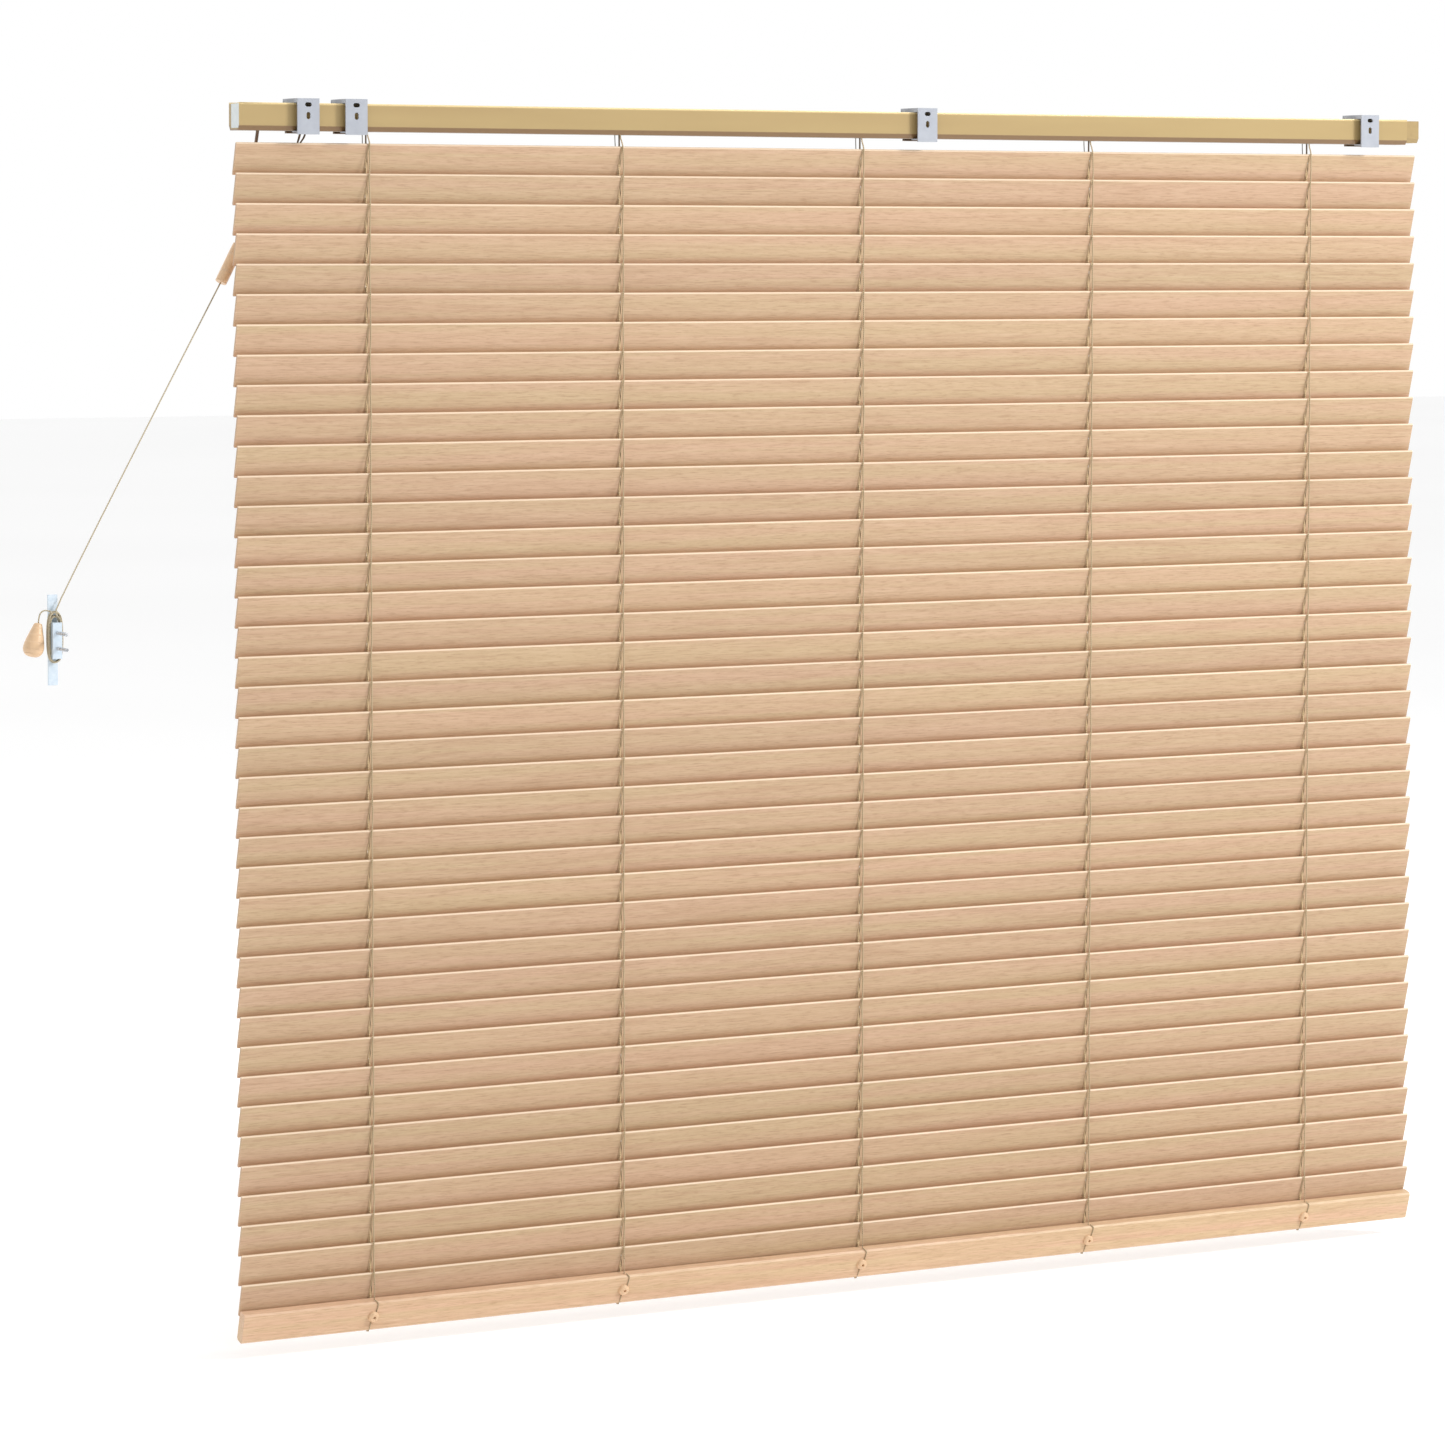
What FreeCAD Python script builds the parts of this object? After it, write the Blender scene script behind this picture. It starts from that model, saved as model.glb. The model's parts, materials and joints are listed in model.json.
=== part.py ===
"""Venetian blind with horizontal wooden slats, its headrail, tilt gear, cords and wall fittings.

Frame: +X runs along the headrail towards the end with the controls, +Y points at the wall, +Z is up.
The origin is on the wall plane, midway between the two outer brackets, level with their upper screw slots.
Every slat is closed, its wall edge up. Lengths are in millimetres and angles in degrees.
"""

import FreeCAD, Part
import Sketcher
import math
import os

doc = FreeCAD.newDocument("venetian_blind")

# ---------------------------------------------------------------- driving dimensions
DIMENSIONS = {
    # slats and the line that their pivots stand on
    "blind_width": 1500,
    "slat_width": 35,
    "slat_thick": 3,
    "slat_edge": 0.9,
    "slat_pitch": 31.5,
    "slat_tilt": 74,
    "pivot_y": -21,
    "first_slat_z": -56.4,
    "hole_long": 17.4,
    "hole_wide": 2.4,
    # bottom rail, hung one short pitch under the last slat
    "foot_drop": 28,
    "foot_width": 33,
    "foot_above": 5.2,
    "foot_below": 7.8,
    "foot_edge": 2,
    "foot_hole_radius": 2.2,
    "button_radius": 6,
    "button_thick": 4,
    "button_hole_radius": 1.4,
    # headrail: a folded channel, open at the top
    "rail_depth": 27,
    "rail_top": 1.5,
    "rail_bottom": -27.2,
    "rail_wall": 1,
    "rail_lip": 5,
    "rail_bevel": 3.2,
    "rail_bevel_high": 5,
    "cap_thick": 3,
    "cap_reach": 17,
    "cap_plug": 6,
    "ladder_slot_long": 19,
    "ladder_slot_wide": 6,
    "lock_hole_half": 7,
    # ladders and cords
    "ladder_spacing": 300,
    "ladder_reach": 7.17,
    "ladder_radius": 0.6,
    "lift_radius": 0.75,
    "pull_radius": 0.75,
    # tilt gear
    "rod_y": -17,
    "rod_z": -12,
    "rod_radius": 2.5,
    "drum_radius": 8,
    "drum_length": 14,
    "cheek_thick": 2,
    "cheek_front": -30.6,
    "cheek_back": -11.4,
    "cheek_notch": -25,
    "cheek_strip": 2.2,
    "strip_height": 5,
    "cradle_rise": 8,
    "tilter_rise": 12,
    "tilter_half": 8.5,
    "bore_gap": 0.4,
    "wheel_radius": 5.3,
    "wheel_length": 8,
    "worm_radius": 2.9,
    "worm_length": 14,
    "worm_start": 12.2,
    "shaft_radius": 1.75,
    "ball_radius": 2.6,
    "cup_radius": 4.4,
    "cup_gap": 0.3,
    "control_x": 719,
    "control_lean": 19.76,
    "exit_y": -31.5,
    "exit_drop": 37.5,
    "wand_radius": 4,
    "wand_length": 600,
    "wand_neck": 2.2,
    # cord lock
    "lock_x": 668,
    "lock_front": -30.6,
    "lock_back": -20,
    "lock_top": -8,
    "lock_half": 9,
    "lock_wall": 2.5,
    "roller_y": -25,
    "roller_radius": 2.2,
    "roller_length": 11,
    "roller_rise": 11,
    # brackets
    "outer_bracket_x": 675,
    "inner_bracket_x": 620,
    "middle_bracket_x": -75,
    "bracket_width": 25,
    "bracket_top": 6.5,
    "bracket_bottom": -31,
    "bracket_metal": 1.5,
    "bracket_arm": 38,
    "arm_flange": 4.5,
    "lip_reach": 14,
    "lip_gap": 0.2,
    "screw_slot_radius": 2.25,
    "screw_slot_long": 7.5,
    "low_slot_z": -11.5,
    "hinge_y": -36.2,
    "hinge_z": 3.6,
    "hinge_radius": 1,
    "gate_front": 0.9,
    "gate_back": 0.4,
    "gate_lip": 4,
    "gate_side_gap": 0.3,
    # cleat on the wall beside the blind
    "cleat_x": 957,
    "cleat_z": -549.5,
    "cleat_width": 10,
    "cleat_depth": 13,
    "cleat_height": 37,
    "horn_length": 93,
    "horn_thick": 3,
    "screw_radius": 2,
    "screw_length": 25,
    "screw_spacing": 15.9,
    "screw_neck": 1.9,
    "head_radius": 3.6,
    "head_thick": 1.6,
    "winding_z": -546,
    "winding_width": 18,
    "winding_height": 57,
    "winding_front": -11.8,
    "winding_back": -3.6,
}

sheet = doc.addObject("Spreadsheet::Sheet", "Dimensions")
for row, (alias, number) in enumerate(DIMENSIONS.items(), start=1):
    sheet.set(f"A{row}", alias)
    sheet.set(f"B{row}", str(number))
    sheet.setAlias(f"B{row}", alias)
doc.recompute()

SLATS = 39
LADDERS = (-2, -1, 0, 1, 2)
BRACKETS = ("outer_bracket_x", "inner_bracket_x", "middle_bracket_x", "-outer_bracket_x")
X_AXIS = FreeCAD.Vector(1, 0, 0)
Y_AXIS = FreeCAD.Vector(0, 1, 0)
Z_AXIS = FreeCAD.Vector(0, 0, 1)
nodes = []


def cell(alias):
    """The number in one cell of the sheet."""
    return float(sheet.get(alias))


def bound(text):
    """An expression on the sheet: every word that is an alias gets the sheet's name before it."""
    words = []
    word = ""
    for letter in text + " ":
        if letter.isalnum() or letter == "_":
            word += letter
            continue
        words.append(f"Dimensions.{word}" if word in DIMENSIONS else word)
        words.append(letter)
        word = ""
    return "".join(words).strip()


def bind(thing, **expressions):
    """Bind properties of thing to expressions on the sheet."""
    for name, text in expressions.items():
        thing.setExpression(name, bound(text))


def place(thing, x="0", y="0", z="0", axis=None, angle="0"):
    """Put thing at x, y, z, turned by angle about axis."""
    if axis is not None:
        thing.Placement = FreeCAD.Placement(FreeCAD.Vector(), FreeCAD.Rotation(axis, 1))
        thing.setExpression("Placement.Rotation.Angle", bound(angle))
    for name, text in (("x", x), ("y", y), ("z", z)):
        thing.setExpression(f"Placement.Base.{name}", bound(text))
    return thing


def box(name, x, y, z):
    """A block between two expressions along each axis."""
    block = doc.addObject("Part::Box", name)
    for side, (low, high) in (("Length", x), ("Width", y), ("Height", z)):
        block.setExpression(side, bound(f"({high}) - ({low})"))
    return place(block, x[0], y[0], z[0])


def cylinder(name, radius, height, x, y, z, axis=None, angle="0"):
    """A round bar that starts at x, y, z and runs along +Z, turned by angle about axis."""
    bar = doc.addObject("Part::Cylinder", name)
    bind(bar, Radius=radius, Height=height)
    return place(bar, x, y, z, axis, angle)


def cut(name, base, tool):
    """base with tool taken away."""
    result = doc.addObject("Part::Cut", name)
    result.Base = base
    result.Tool = tool
    return result


def fuse(name, shapes):
    """One solid from several that meet or overlap."""
    result = doc.addObject("Part::MultiFuse", name)
    result.Shapes = shapes
    return result


def group(name, shapes):
    """Separate solids kept together."""
    result = doc.addObject("Part::Compound", name)
    result.Links = shapes
    return result


def node(thing, label):
    """Name a finished sub-part."""
    thing.Label = label
    nodes.append(thing)
    return thing


# ---------------------------------------------------------------- bodies made from sketches
def plane(body, role):
    """One of the body's own origin planes."""
    return next(f for f in body.Origin.OriginFeatures if f.Role == role)


def outline(body, name, role, points, circles=()):
    """A closed outline on an origin plane; each corner and circle is a pair of expressions from the origin."""
    sketch = body.newObject("Sketcher::SketchObject", name)
    sketch.AttachmentSupport = [(plane(body, role), "")]
    sketch.MapMode = "FlatFace"
    count = len(points)
    turns = [math.tau * k / count for k in range(count)]
    spots = [FreeCAD.Vector(10 * math.cos(turn), 10 * math.sin(turn), 0) for turn in turns]
    for k in range(count):
        sketch.addGeometry(Part.LineSegment(spots[k], spots[(k + 1) % count]))
    for k in range(count):
        sketch.addConstraint(Sketcher.Constraint("Coincident", k, 2, (k + 1) % count, 1))
        for kind, text in zip(("DistanceX", "DistanceY"), points[k]):
            number = sketch.addConstraint(Sketcher.Constraint(kind, -1, 1, k, 1, 1.0))
            sketch.setExpression(f"Constraints[{number}]", bound(text))
    for x, y, radius in circles:
        ring = sketch.addGeometry(Part.Circle(FreeCAD.Vector(1, 1, 0), Z_AXIS, 1))
        for kind, text in (("DistanceX", x), ("DistanceY", y)):
            number = sketch.addConstraint(Sketcher.Constraint(kind, -1, 1, ring, 3, 1.0))
            sketch.setExpression(f"Constraints[{number}]", bound(text))
        number = sketch.addConstraint(Sketcher.Constraint("Radius", ring, 1.0))
        sketch.setExpression(f"Constraints[{number}]", bound(radius))
    return sketch


def pad(body, sketch, length):
    """Extrude a sketch equally to both sides of its plane."""
    feature = body.newObject("PartDesign::Pad", "pad")
    feature.Profile = sketch
    feature.SideType = "Symmetric"
    feature.setExpression("Length", bound(length))
    return feature


def pocket(body, sketch):
    """Cut a sketch right through the body, both ways."""
    feature = body.newObject("PartDesign::Pocket", "pocket")
    feature.Profile = sketch
    feature.Type = "ThroughAll"
    feature.SideType = "Symmetric"
    return feature


def repeat(body, feature, count, span):
    """Repeat a feature evenly along X, over span."""
    pattern = body.newObject("PartDesign::LinearPattern", "row")
    pattern.Originals = [feature]
    pattern.Direction = (plane(body, "X_Axis"), [""])
    pattern.Occurrences = count
    pattern.setExpression("Length", bound(span))
    body.Tip = pattern
    return pattern


def rectangle(left, right, low, high):
    """The four corners of a rectangle, in order."""
    return [(left, low), (right, low), (right, high), (left, high)]


def bevelled(left, right, low, high, edge):
    """A rectangle whose four corners are cut off by edge."""
    return [
        (f"{left} + {edge}", low),
        (f"{right} - {edge}", low),
        (right, f"{low} + {edge}"),
        (right, f"{high} - {edge}"),
        (f"{right} - {edge}", high),
        (f"{left} + {edge}", high),
        (left, f"{high} - {edge}"),
        (left, f"{low} + {edge}"),
    ]


def slot_outline(x, y, long, wide):
    """A slot with cut corners, centred at x, y; long lies along the sketch's second direction."""
    return bevelled(
        f"{x} - {wide} / 2", f"{x} + {wide} / 2", f"{y} - {long} / 2", f"{y} + {long} / 2", f"{wide} / 4"
    )


def slat(number):
    """One slat: a bevelled strip with a row of slots for the lift cords, turned about its long centre line."""
    label = f"slat_{number:02d}"
    body = doc.addObject("PartDesign::Body", label + "_body")
    strip = bevelled("-slat_width / 2", "slat_width / 2", "-slat_thick / 2", "slat_thick / 2", "slat_edge")
    pad(body, outline(body, "section", "YZ_Plane", strip), "blind_width")
    hole_shape = slot_outline("-2 * ladder_spacing", "0", "hole_long", "hole_wide")
    hole = pocket(body, outline(body, "hole", "XY_Plane", hole_shape))
    repeat(body, hole, len(LADDERS), "4 * ladder_spacing")
    place(body, "0", "pivot_y", f"first_slat_z - {number - 1} * slat_pitch", X_AXIS, "slat_tilt")
    return node(body, label)


for number in range(1, SLATS + 1):
    slat(number)

# ---------------------------------------------------------------- bottom rail and its buttons
FOOT_Z = f"first_slat_z - {SLATS - 1} * slat_pitch - foot_drop"

foot = doc.addObject("PartDesign::Body", "bottom_rail_body")
foot_section = bevelled("-foot_width / 2", "foot_width / 2", "-foot_below", "foot_above", "foot_edge")
pad(foot, outline(foot, "section", "YZ_Plane", foot_section), "blind_width")
foot_holes = [(f"{k} * ladder_spacing", "0", "foot_hole_radius") for k in LADDERS]
pocket(foot, outline(foot, "cord_holes", "XY_Plane", [], foot_holes))
place(foot, "0", "pivot_y", FOOT_Z, X_AXIS, "slat_tilt")
node(foot, "bottom_rail")

buttons = []
for k in LADDERS:
    spot = (f"{k} * ladder_spacing", "0", "-foot_below - button_thick")
    disc = cylinder(f"button_disc_{k + 3}", "button_radius", "button_thick", *spot)
    bore = cylinder(f"button_bore_{k + 3}", "button_hole_radius", "button_thick", *spot)
    buttons.append(cut(f"button_{k + 3}", disc, bore))
node(place(group("buttons", buttons), "0", "pivot_y", FOOT_Z, X_AXIS, "slat_tilt"), "rail_buttons")

# ---------------------------------------------------------------- headrail
# the channel stops short of the far end by cap_reach, so its own middle is shifted by half of that
BACK = "(pivot_y + rail_depth / 2)"
FRONT = "(pivot_y - rail_depth / 2)"

channel = doc.addObject("PartDesign::Body", "headrail_body")
channel_section = [
    (f"{FRONT} + rail_bevel", "rail_bottom"),
    (f"{BACK} - rail_bevel", "rail_bottom"),
    (BACK, "rail_bottom + rail_bevel_high"),
    (BACK, "rail_top"),
    (f"{BACK} - rail_lip", "rail_top"),
    (f"{BACK} - rail_lip", "rail_top - rail_wall"),
    (f"{BACK} - rail_wall", "rail_top - rail_wall"),
    (f"{BACK} - rail_wall", "rail_bottom + rail_bevel_high + rail_wall / 3"),
    (f"{BACK} - rail_bevel - rail_wall / 2", "rail_bottom + rail_wall"),
    (f"{FRONT} + rail_bevel + rail_wall / 2", "rail_bottom + rail_wall"),
    (f"{FRONT} + rail_wall", "rail_bottom + rail_bevel_high + rail_wall / 3"),
    (f"{FRONT} + rail_wall", "rail_top - rail_wall"),
    (f"{FRONT} + rail_lip", "rail_top - rail_wall"),
    (f"{FRONT} + rail_lip", "rail_top"),
    (FRONT, "rail_top"),
    (FRONT, "rail_bottom + rail_bevel_high"),
]
SHIFT = "cap_reach / 2"
pad(channel, outline(channel, "section", "YZ_Plane", channel_section), "blind_width - cap_reach")
ladder_slot_shape = slot_outline(
    f"-2 * ladder_spacing - {SHIFT}", "pivot_y", "ladder_slot_long", "ladder_slot_wide"
)
ladder_slot = pocket(channel, outline(channel, "ladder_slot", "XY_Plane", ladder_slot_shape))
repeat(channel, ladder_slot, len(LADDERS), "4 * ladder_spacing")
lock_sides_x = (f"lock_x - lock_hole_half - {SHIFT}", f"lock_x + lock_hole_half - {SHIFT}")
lock_hole = rectangle(*lock_sides_x, "exit_y - 1.5", "exit_y + 7.5")
pocket(channel, outline(channel, "lock_hole", "XY_Plane", lock_hole))
shaft_sides = (f"control_x - 3 - {SHIFT}", f"control_x + 3 - {SHIFT}")
shaft_hole = rectangle(*shaft_sides, f"{FRONT} + rail_wall", "exit_y + 3.5")
channel.Tip = pocket(channel, outline(channel, "shaft_hole", "XY_Plane", shaft_hole))
place(channel, SHIFT)
node(channel, "headrail")


def cap_block(name, inset, low_inset, high_inset, length, x):
    """A block of the channel's inside shape, smaller all round by inset, centred at x."""
    front = f"{FRONT} + {inset}"
    back = f"{BACK} - {inset}"
    low = f"rail_bottom + {low_inset}"
    corner = f"rail_bottom + {low_inset} + rail_bevel_high"
    high = f"rail_top - {high_inset}"
    shape = [(f"{front} + rail_bevel", low), (f"{back} - rail_bevel", low), (back, corner), (back, high)]
    shape += [(front, high), (front, corner)]
    body = doc.addObject("PartDesign::Body", name + "_body")
    pad(body, outline(body, "section", "YZ_Plane", shape), length)
    return place(body, x)


near_x = "blind_width / 2 - cap_thick / 2"
near_cap = cap_block("near_cap", "rail_wall", "rail_wall", "rail_wall", "cap_thick", near_x)
far_end = "cap_reach - blind_width / 2"
far_plug = cap_block("far_plug", "rail_wall", "rail_wall", "rail_wall", "cap_plug", f"{far_end} + cap_plug / 2")
far_hood = cap_block("far_hood", "0.5", "2.2", "1.2", "cap_reach", f"{far_end} - cap_reach / 2")
node(group("caps", [near_cap, fuse("far_cap", [far_plug, far_hood])]), "end_caps")

# ---------------------------------------------------------------- tilt rod, its drums and supports
rod = doc.addObject("Part::Prism", "rod")
rod.Polygon = 6
bind(rod, Circumradius="rod_radius", Height="blind_width - 60")
place(rod, "30 - blind_width / 2", "rod_y", "rod_z", Y_AXIS, "90")
node(rod, "tilt_rod")


def on_rod(name, radius, length, x):
    """A round bar about the rod's axis, centred at x."""
    return cylinder(name, radius, length, f"{x} - ({length}) / 2", "rod_y", "rod_z", Y_AXIS, "90")


def drum(name, radius, length, x):
    """A drum pushed on the rod: its bore is the rod's own six-sided section."""
    bore = doc.addObject("Part::Prism", name + "_bore")
    bore.Polygon = 6
    bind(bore, Circumradius="rod_radius", Height=length)
    place(bore, f"{x} - ({length}) / 2", "rod_y", "rod_z", Y_AXIS, "90")
    return cut(name, on_rod(name + "_rim", radius, length, x), bore)


drums = [drum(f"drum_{k + 3}", "drum_radius", "drum_length", f"{k} * ladder_spacing") for k in LADDERS]
drums.append(drum("wheel", "wheel_radius", "wheel_length", "control_x"))
node(group("drums", drums), "rod_drums")

FLOOR = "rail_bottom + rail_wall"


def cheek(name, x, top):
    """One upright plate of a support, with a bore for the rod and a notch for the cords along the channel."""
    sides = (f"{x} - cheek_thick / 2", f"{x} + cheek_thick / 2")
    plate = box(name + "_plate", sides, ("cheek_front", "cheek_back"), (FLOOR, top))
    bore = on_rod(name + "_bore", "rod_radius + bore_gap", "2 * cap_thick", x)
    wider = (f"{x} - cheek_thick", f"{x} + cheek_thick")
    low = (f"{FLOOR} - 1", f"{FLOOR} + strip_height")
    notch = box(name + "_notch", wider, ("cheek_front - 1", "cheek_notch"), low)
    return cut(name, plate, fuse(name + "_gaps", [bore, notch]))


def support(name, x, half, top):
    """Two cheeks joined by a strip along the wall side of the channel's floor."""
    left = f"{x} - ({half})"
    right = f"{x} + ({half})"
    cheeks = [cheek(name + "_left", left, top), cheek(name + "_right", right, top)]
    depth = ("cheek_back - cheek_strip", "cheek_back")
    strip = box(name + "_strip", (left, right), depth, (FLOOR, f"{FLOOR} + strip_height"))
    return fuse(name, cheeks + [strip])


HALF = "drum_length / 2 + cheek_thick"
RISE = "rod_z + cradle_rise"
supports = [support(f"cradle_{k + 3}", f"{k} * ladder_spacing", HALF, RISE) for k in LADDERS]
supports.append(support("tilter", "control_x", "tilter_half", "rod_z + tilter_rise"))
node(group("supports", supports), "rod_supports")

# ---------------------------------------------------------------- worm shaft and wand
LEAN_Y = "sin(control_lean)"
LEAN_Z = "cos(control_lean)"
# distances along the shaft are counted from where its axis meets the channel's underside, downwards
BALL_Y = f"(exit_y - exit_drop * {LEAN_Y})"
BALL_Z = f"(rail_bottom - exit_drop * {LEAN_Z})"
WORM_UP = "(worm_start + worm_length)"


def on_shaft(name, radius, low, high):
    """A round bar on the leaning axis, from low to high, counted upwards from the channel's underside."""
    y = f"exit_y + ({low}) * {LEAN_Y}"
    z = f"rail_bottom + ({low}) * {LEAN_Z}"
    return cylinder(name, radius, f"({high}) - ({low})", "control_x", y, z, X_AXIS, "-control_lean")


ball = doc.addObject("Part::Sphere", "ball")
bind(ball, Radius="ball_radius")
place(ball, "control_x", BALL_Y, BALL_Z)
worm = fuse(
    "worm_and_ball",
    [
        on_shaft("worm", "worm_radius", f"{WORM_UP} - worm_length", WORM_UP),
        on_shaft("shaft", "shaft_radius", "-exit_drop", f"{WORM_UP} - worm_length / 2"),
        ball,
    ],
)
node(worm, "worm_shaft")

wand = doc.addObject("PartDesign::Body", "wand_body")
wand_profile = [
    ("0", "-cup_radius - wand_length"),
    ("wand_radius", "-cup_radius - wand_length + 2"),
    ("wand_radius + 1.5", "-cup_radius - wand_length + 14"),
    ("wand_radius - 0.4", "-cup_radius - wand_length + 60"),
    ("wand_radius - 0.4", "-22"),
    ("wand_radius", "-16"),
    ("wand_radius", "-12"),
    ("wand_neck", "-9"),
    ("wand_neck", "-cup_radius"),
    ("cup_radius", "-2"),
    ("cup_radius", "1.4"),
    ("cup_radius - 1.1", "1.4"),
    ("ball_radius + cup_gap", "0"),
    ("ball_radius + cup_gap", "-ball_radius - cup_gap"),
    ("0", "-ball_radius - cup_gap"),
]
turned = wand.newObject("PartDesign::Revolution", "turned")
turned.Profile = outline(wand, "profile", "XZ_Plane", wand_profile)
turned.ReferenceAxis = (plane(wand, "Z_Axis"), [""])
turned.Angle = 360
place(wand, "control_x", BALL_Y, BALL_Z)
node(wand, "tilt_wand")

# ---------------------------------------------------------------- cord lock
LOCK_Y = ("lock_front", "lock_back")
LOCK_Z = (FLOOR, "lock_top")
lock_sides = [
    box("lock_left", ("lock_x - lock_half", "lock_x - lock_half + lock_wall"), LOCK_Y, LOCK_Z),
    box("lock_right", ("lock_x + lock_half - lock_wall", "lock_x + lock_half"), LOCK_Y, LOCK_Z),
    box("lock_rear", ("lock_x - lock_half", "lock_x + lock_half"), ("lock_back - 2", "lock_back"), LOCK_Z),
]
run_z = (f"{FLOOR} - 1", f"{FLOOR} + 6")
lock_run = box("lock_run", ("lock_x - 10", "lock_x"), ("cheek_front", "roller_y"), run_z)
lock = cut("lock", fuse("lock_frame", lock_sides), lock_run)
node(lock, "cord_lock")
roller_spot = ("lock_x - roller_length / 2", "roller_y", "rail_bottom + roller_rise")
roller = cylinder("roller", "roller_radius", "roller_length", *roller_spot, Y_AXIS, "90")
node(roller, "lock_roller")

# ---------------------------------------------------------------- brackets and their gates
def slot_hole(name, x, z, along_x):
    """A round-ended slot through the bracket's back plate."""
    half = "(screw_slot_long / 2 - screw_slot_radius)"
    ends = []
    for side, sign in (("a", "-"), ("b", "+")):
        spot = (f"{x} {sign} {half}", z) if along_x else (x, f"{z} {sign} {half}")
        ends.append(cylinder(f"{name}_{side}", "screw_slot_radius", "3", spot[0], "1", spot[1], X_AXIS, "90"))
    half_x, half_z = (half, "screw_slot_radius") if along_x else ("screw_slot_radius", half)
    sides = (f"{x} - {half_x}", f"{x} + {half_x}")
    middle = box(name + "_m", sides, ("-2", "1"), (f"{z} - {half_z}", f"{z} + {half_z}"))
    return fuse(name, ends + [middle])


def pin_hole(name, x, radius, over):
    """A round bar along the gate's hinge, longer than the bracket's width by over at each side."""
    start = f"{x} - bracket_width / 2 - {over}"
    return cylinder(name, radius, f"bracket_width + 2 * {over}", start, "hinge_y", "hinge_z", Y_AXIS, "90")


def bracket(number, x):
    """A folded bracket: back plate, top arm with two flanges, and a lip that carries the headrail."""
    name = f"bracket_{number}"
    left = f"({x} - bracket_width / 2)"
    right = f"({x} + bracket_width / 2)"
    under = "rail_bottom - lip_gap"
    arm_z = ("bracket_top - bracket_metal", "bracket_top")
    plates = [
        box(name + "_back", (left, right), ("-bracket_metal", "0"), ("bracket_bottom", "bracket_top")),
        box(name + "_arm", (left, right), ("-bracket_arm", "0"), arm_z),
        box(name + "_lip", (left, right), ("-lip_reach", "0"), (f"{under} - bracket_metal", under)),
    ]
    for side, low, high in (("l", left, f"{left} + bracket_metal"), ("r", f"{right} - bracket_metal", right)):
        drop = ("bracket_top - arm_flange", "bracket_top")
        plates.append(box(f"{name}_flange_{side}", (low, high), ("-bracket_arm", "0"), drop))
    gaps = [
        slot_hole(name + "_high", x, "0", True),
        slot_hole(name + "_low", x, "low_slot_z", False),
        pin_hole(name + "_hinge", x, "hinge_radius + 0.05", "2"),
    ]
    return cut(name, fuse(name + "_plates", plates), fuse(name + "_gaps", gaps))


def gate(number, x):
    """A gate in front of the headrail, with a pin through the arm's flanges and a lip under the channel."""
    name = f"gate_{number}"
    half = "(bracket_width / 2 - bracket_metal - gate_side_gap)"
    sides = (f"{x} - {half}", f"{x} + {half}")
    front = "hinge_y - gate_front"
    low = "rail_bottom - 2.2"
    pin = pin_hole(name + "_pin", x, "hinge_radius", "0.5")
    plate = box(name + "_plate", sides, (front, "hinge_y + gate_back"), (low, "hinge_z"))
    lip = box(name + "_lip", sides, (front, "hinge_y + gate_lip"), (low, "rail_bottom - 0.9"))
    return fuse(name, [pin, plate, lip])


brackets = [bracket(k + 1, f"({x})") for k, x in enumerate(BRACKETS)]
node(group("brackets", brackets), "wall_brackets")
gates = [gate(k + 1, f"({x})") for k, x in enumerate(BRACKETS)]
node(group("gates", gates), "bracket_gates")

# ---------------------------------------------------------------- cleat with its screws, and the wound cord
CLEAT_X = ("cleat_x - cleat_width / 2", "cleat_x + cleat_width / 2")
BASE_Z = ("cleat_z - cleat_height / 2", "cleat_z + cleat_height / 2")
HORN_Z = ("cleat_z - horn_length / 2", "cleat_z + horn_length / 2")
HORN_FRONT = "-cleat_depth - horn_thick"
cleat_blank = fuse(
    "cleat_blank",
    [
        box("cleat_base", CLEAT_X, ("-cleat_depth - 1", "0"), BASE_Z),
        box("cleat_horns", CLEAT_X, (HORN_FRONT, "-cleat_depth"), HORN_Z),
    ],
)


def cleat_bar(name, radius, length, y, z):
    """A round bar across the wall through the cleat, from y towards the room."""
    return cylinder(name, radius, length, "cleat_x", y, z, X_AXIS, "90")


def cleat_screw(side, z):
    """A screw: full shank where it stands out towards the wall, a thinner neck in the cleat, a round head."""
    shank = cleat_bar(f"shank_{side}", "screw_radius", "screw_length", "screw_length", z)
    neck = cleat_bar(f"neck_{side}", "screw_neck", "cleat_depth + horn_thick", "0", z)
    head = cleat_bar(f"head_{side}", "head_radius", "head_thick", HORN_FRONT, z)
    return fuse(f"cleat_screw_{side}", [shank, neck, head])


cleat_bores = []
cleat_screws = []
for side, sign in (("low", "-"), ("high", "+")):
    screw_z = f"cleat_z {sign} screw_spacing / 2"
    cleat_bores.append(cleat_bar(f"bore_{side}", "screw_radius", "2 * cleat_depth", "1", screw_z))
    cleat_screws.append(cleat_screw(side, screw_z))
cleat_body = cut("cleat_body", cleat_blank, fuse("cleat_bores", cleat_bores))
node(group("cleat_set", [cleat_body] + cleat_screws), "cleat")


def oval(name, wide, tall):
    """An upright bar with round ends, across the wall, between the winding's two faces."""
    half = f"({tall} - {wide}) / 2"
    sides = (f"cleat_x - {wide} / 2", f"cleat_x + {wide} / 2")
    depth = ("winding_front", "winding_back")
    parts = [box(name + "_m", sides, depth, (f"winding_z - {half}", f"winding_z + {half}"))]
    length = "winding_back - winding_front"
    for side, sign in (("low", "-"), ("high", "+")):
        z = f"winding_z {sign} {half}"
        parts.append(cleat_bar(f"{name}_{side}", f"{wide} / 2", length, "winding_back", z))
    return fuse(name, parts)


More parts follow.
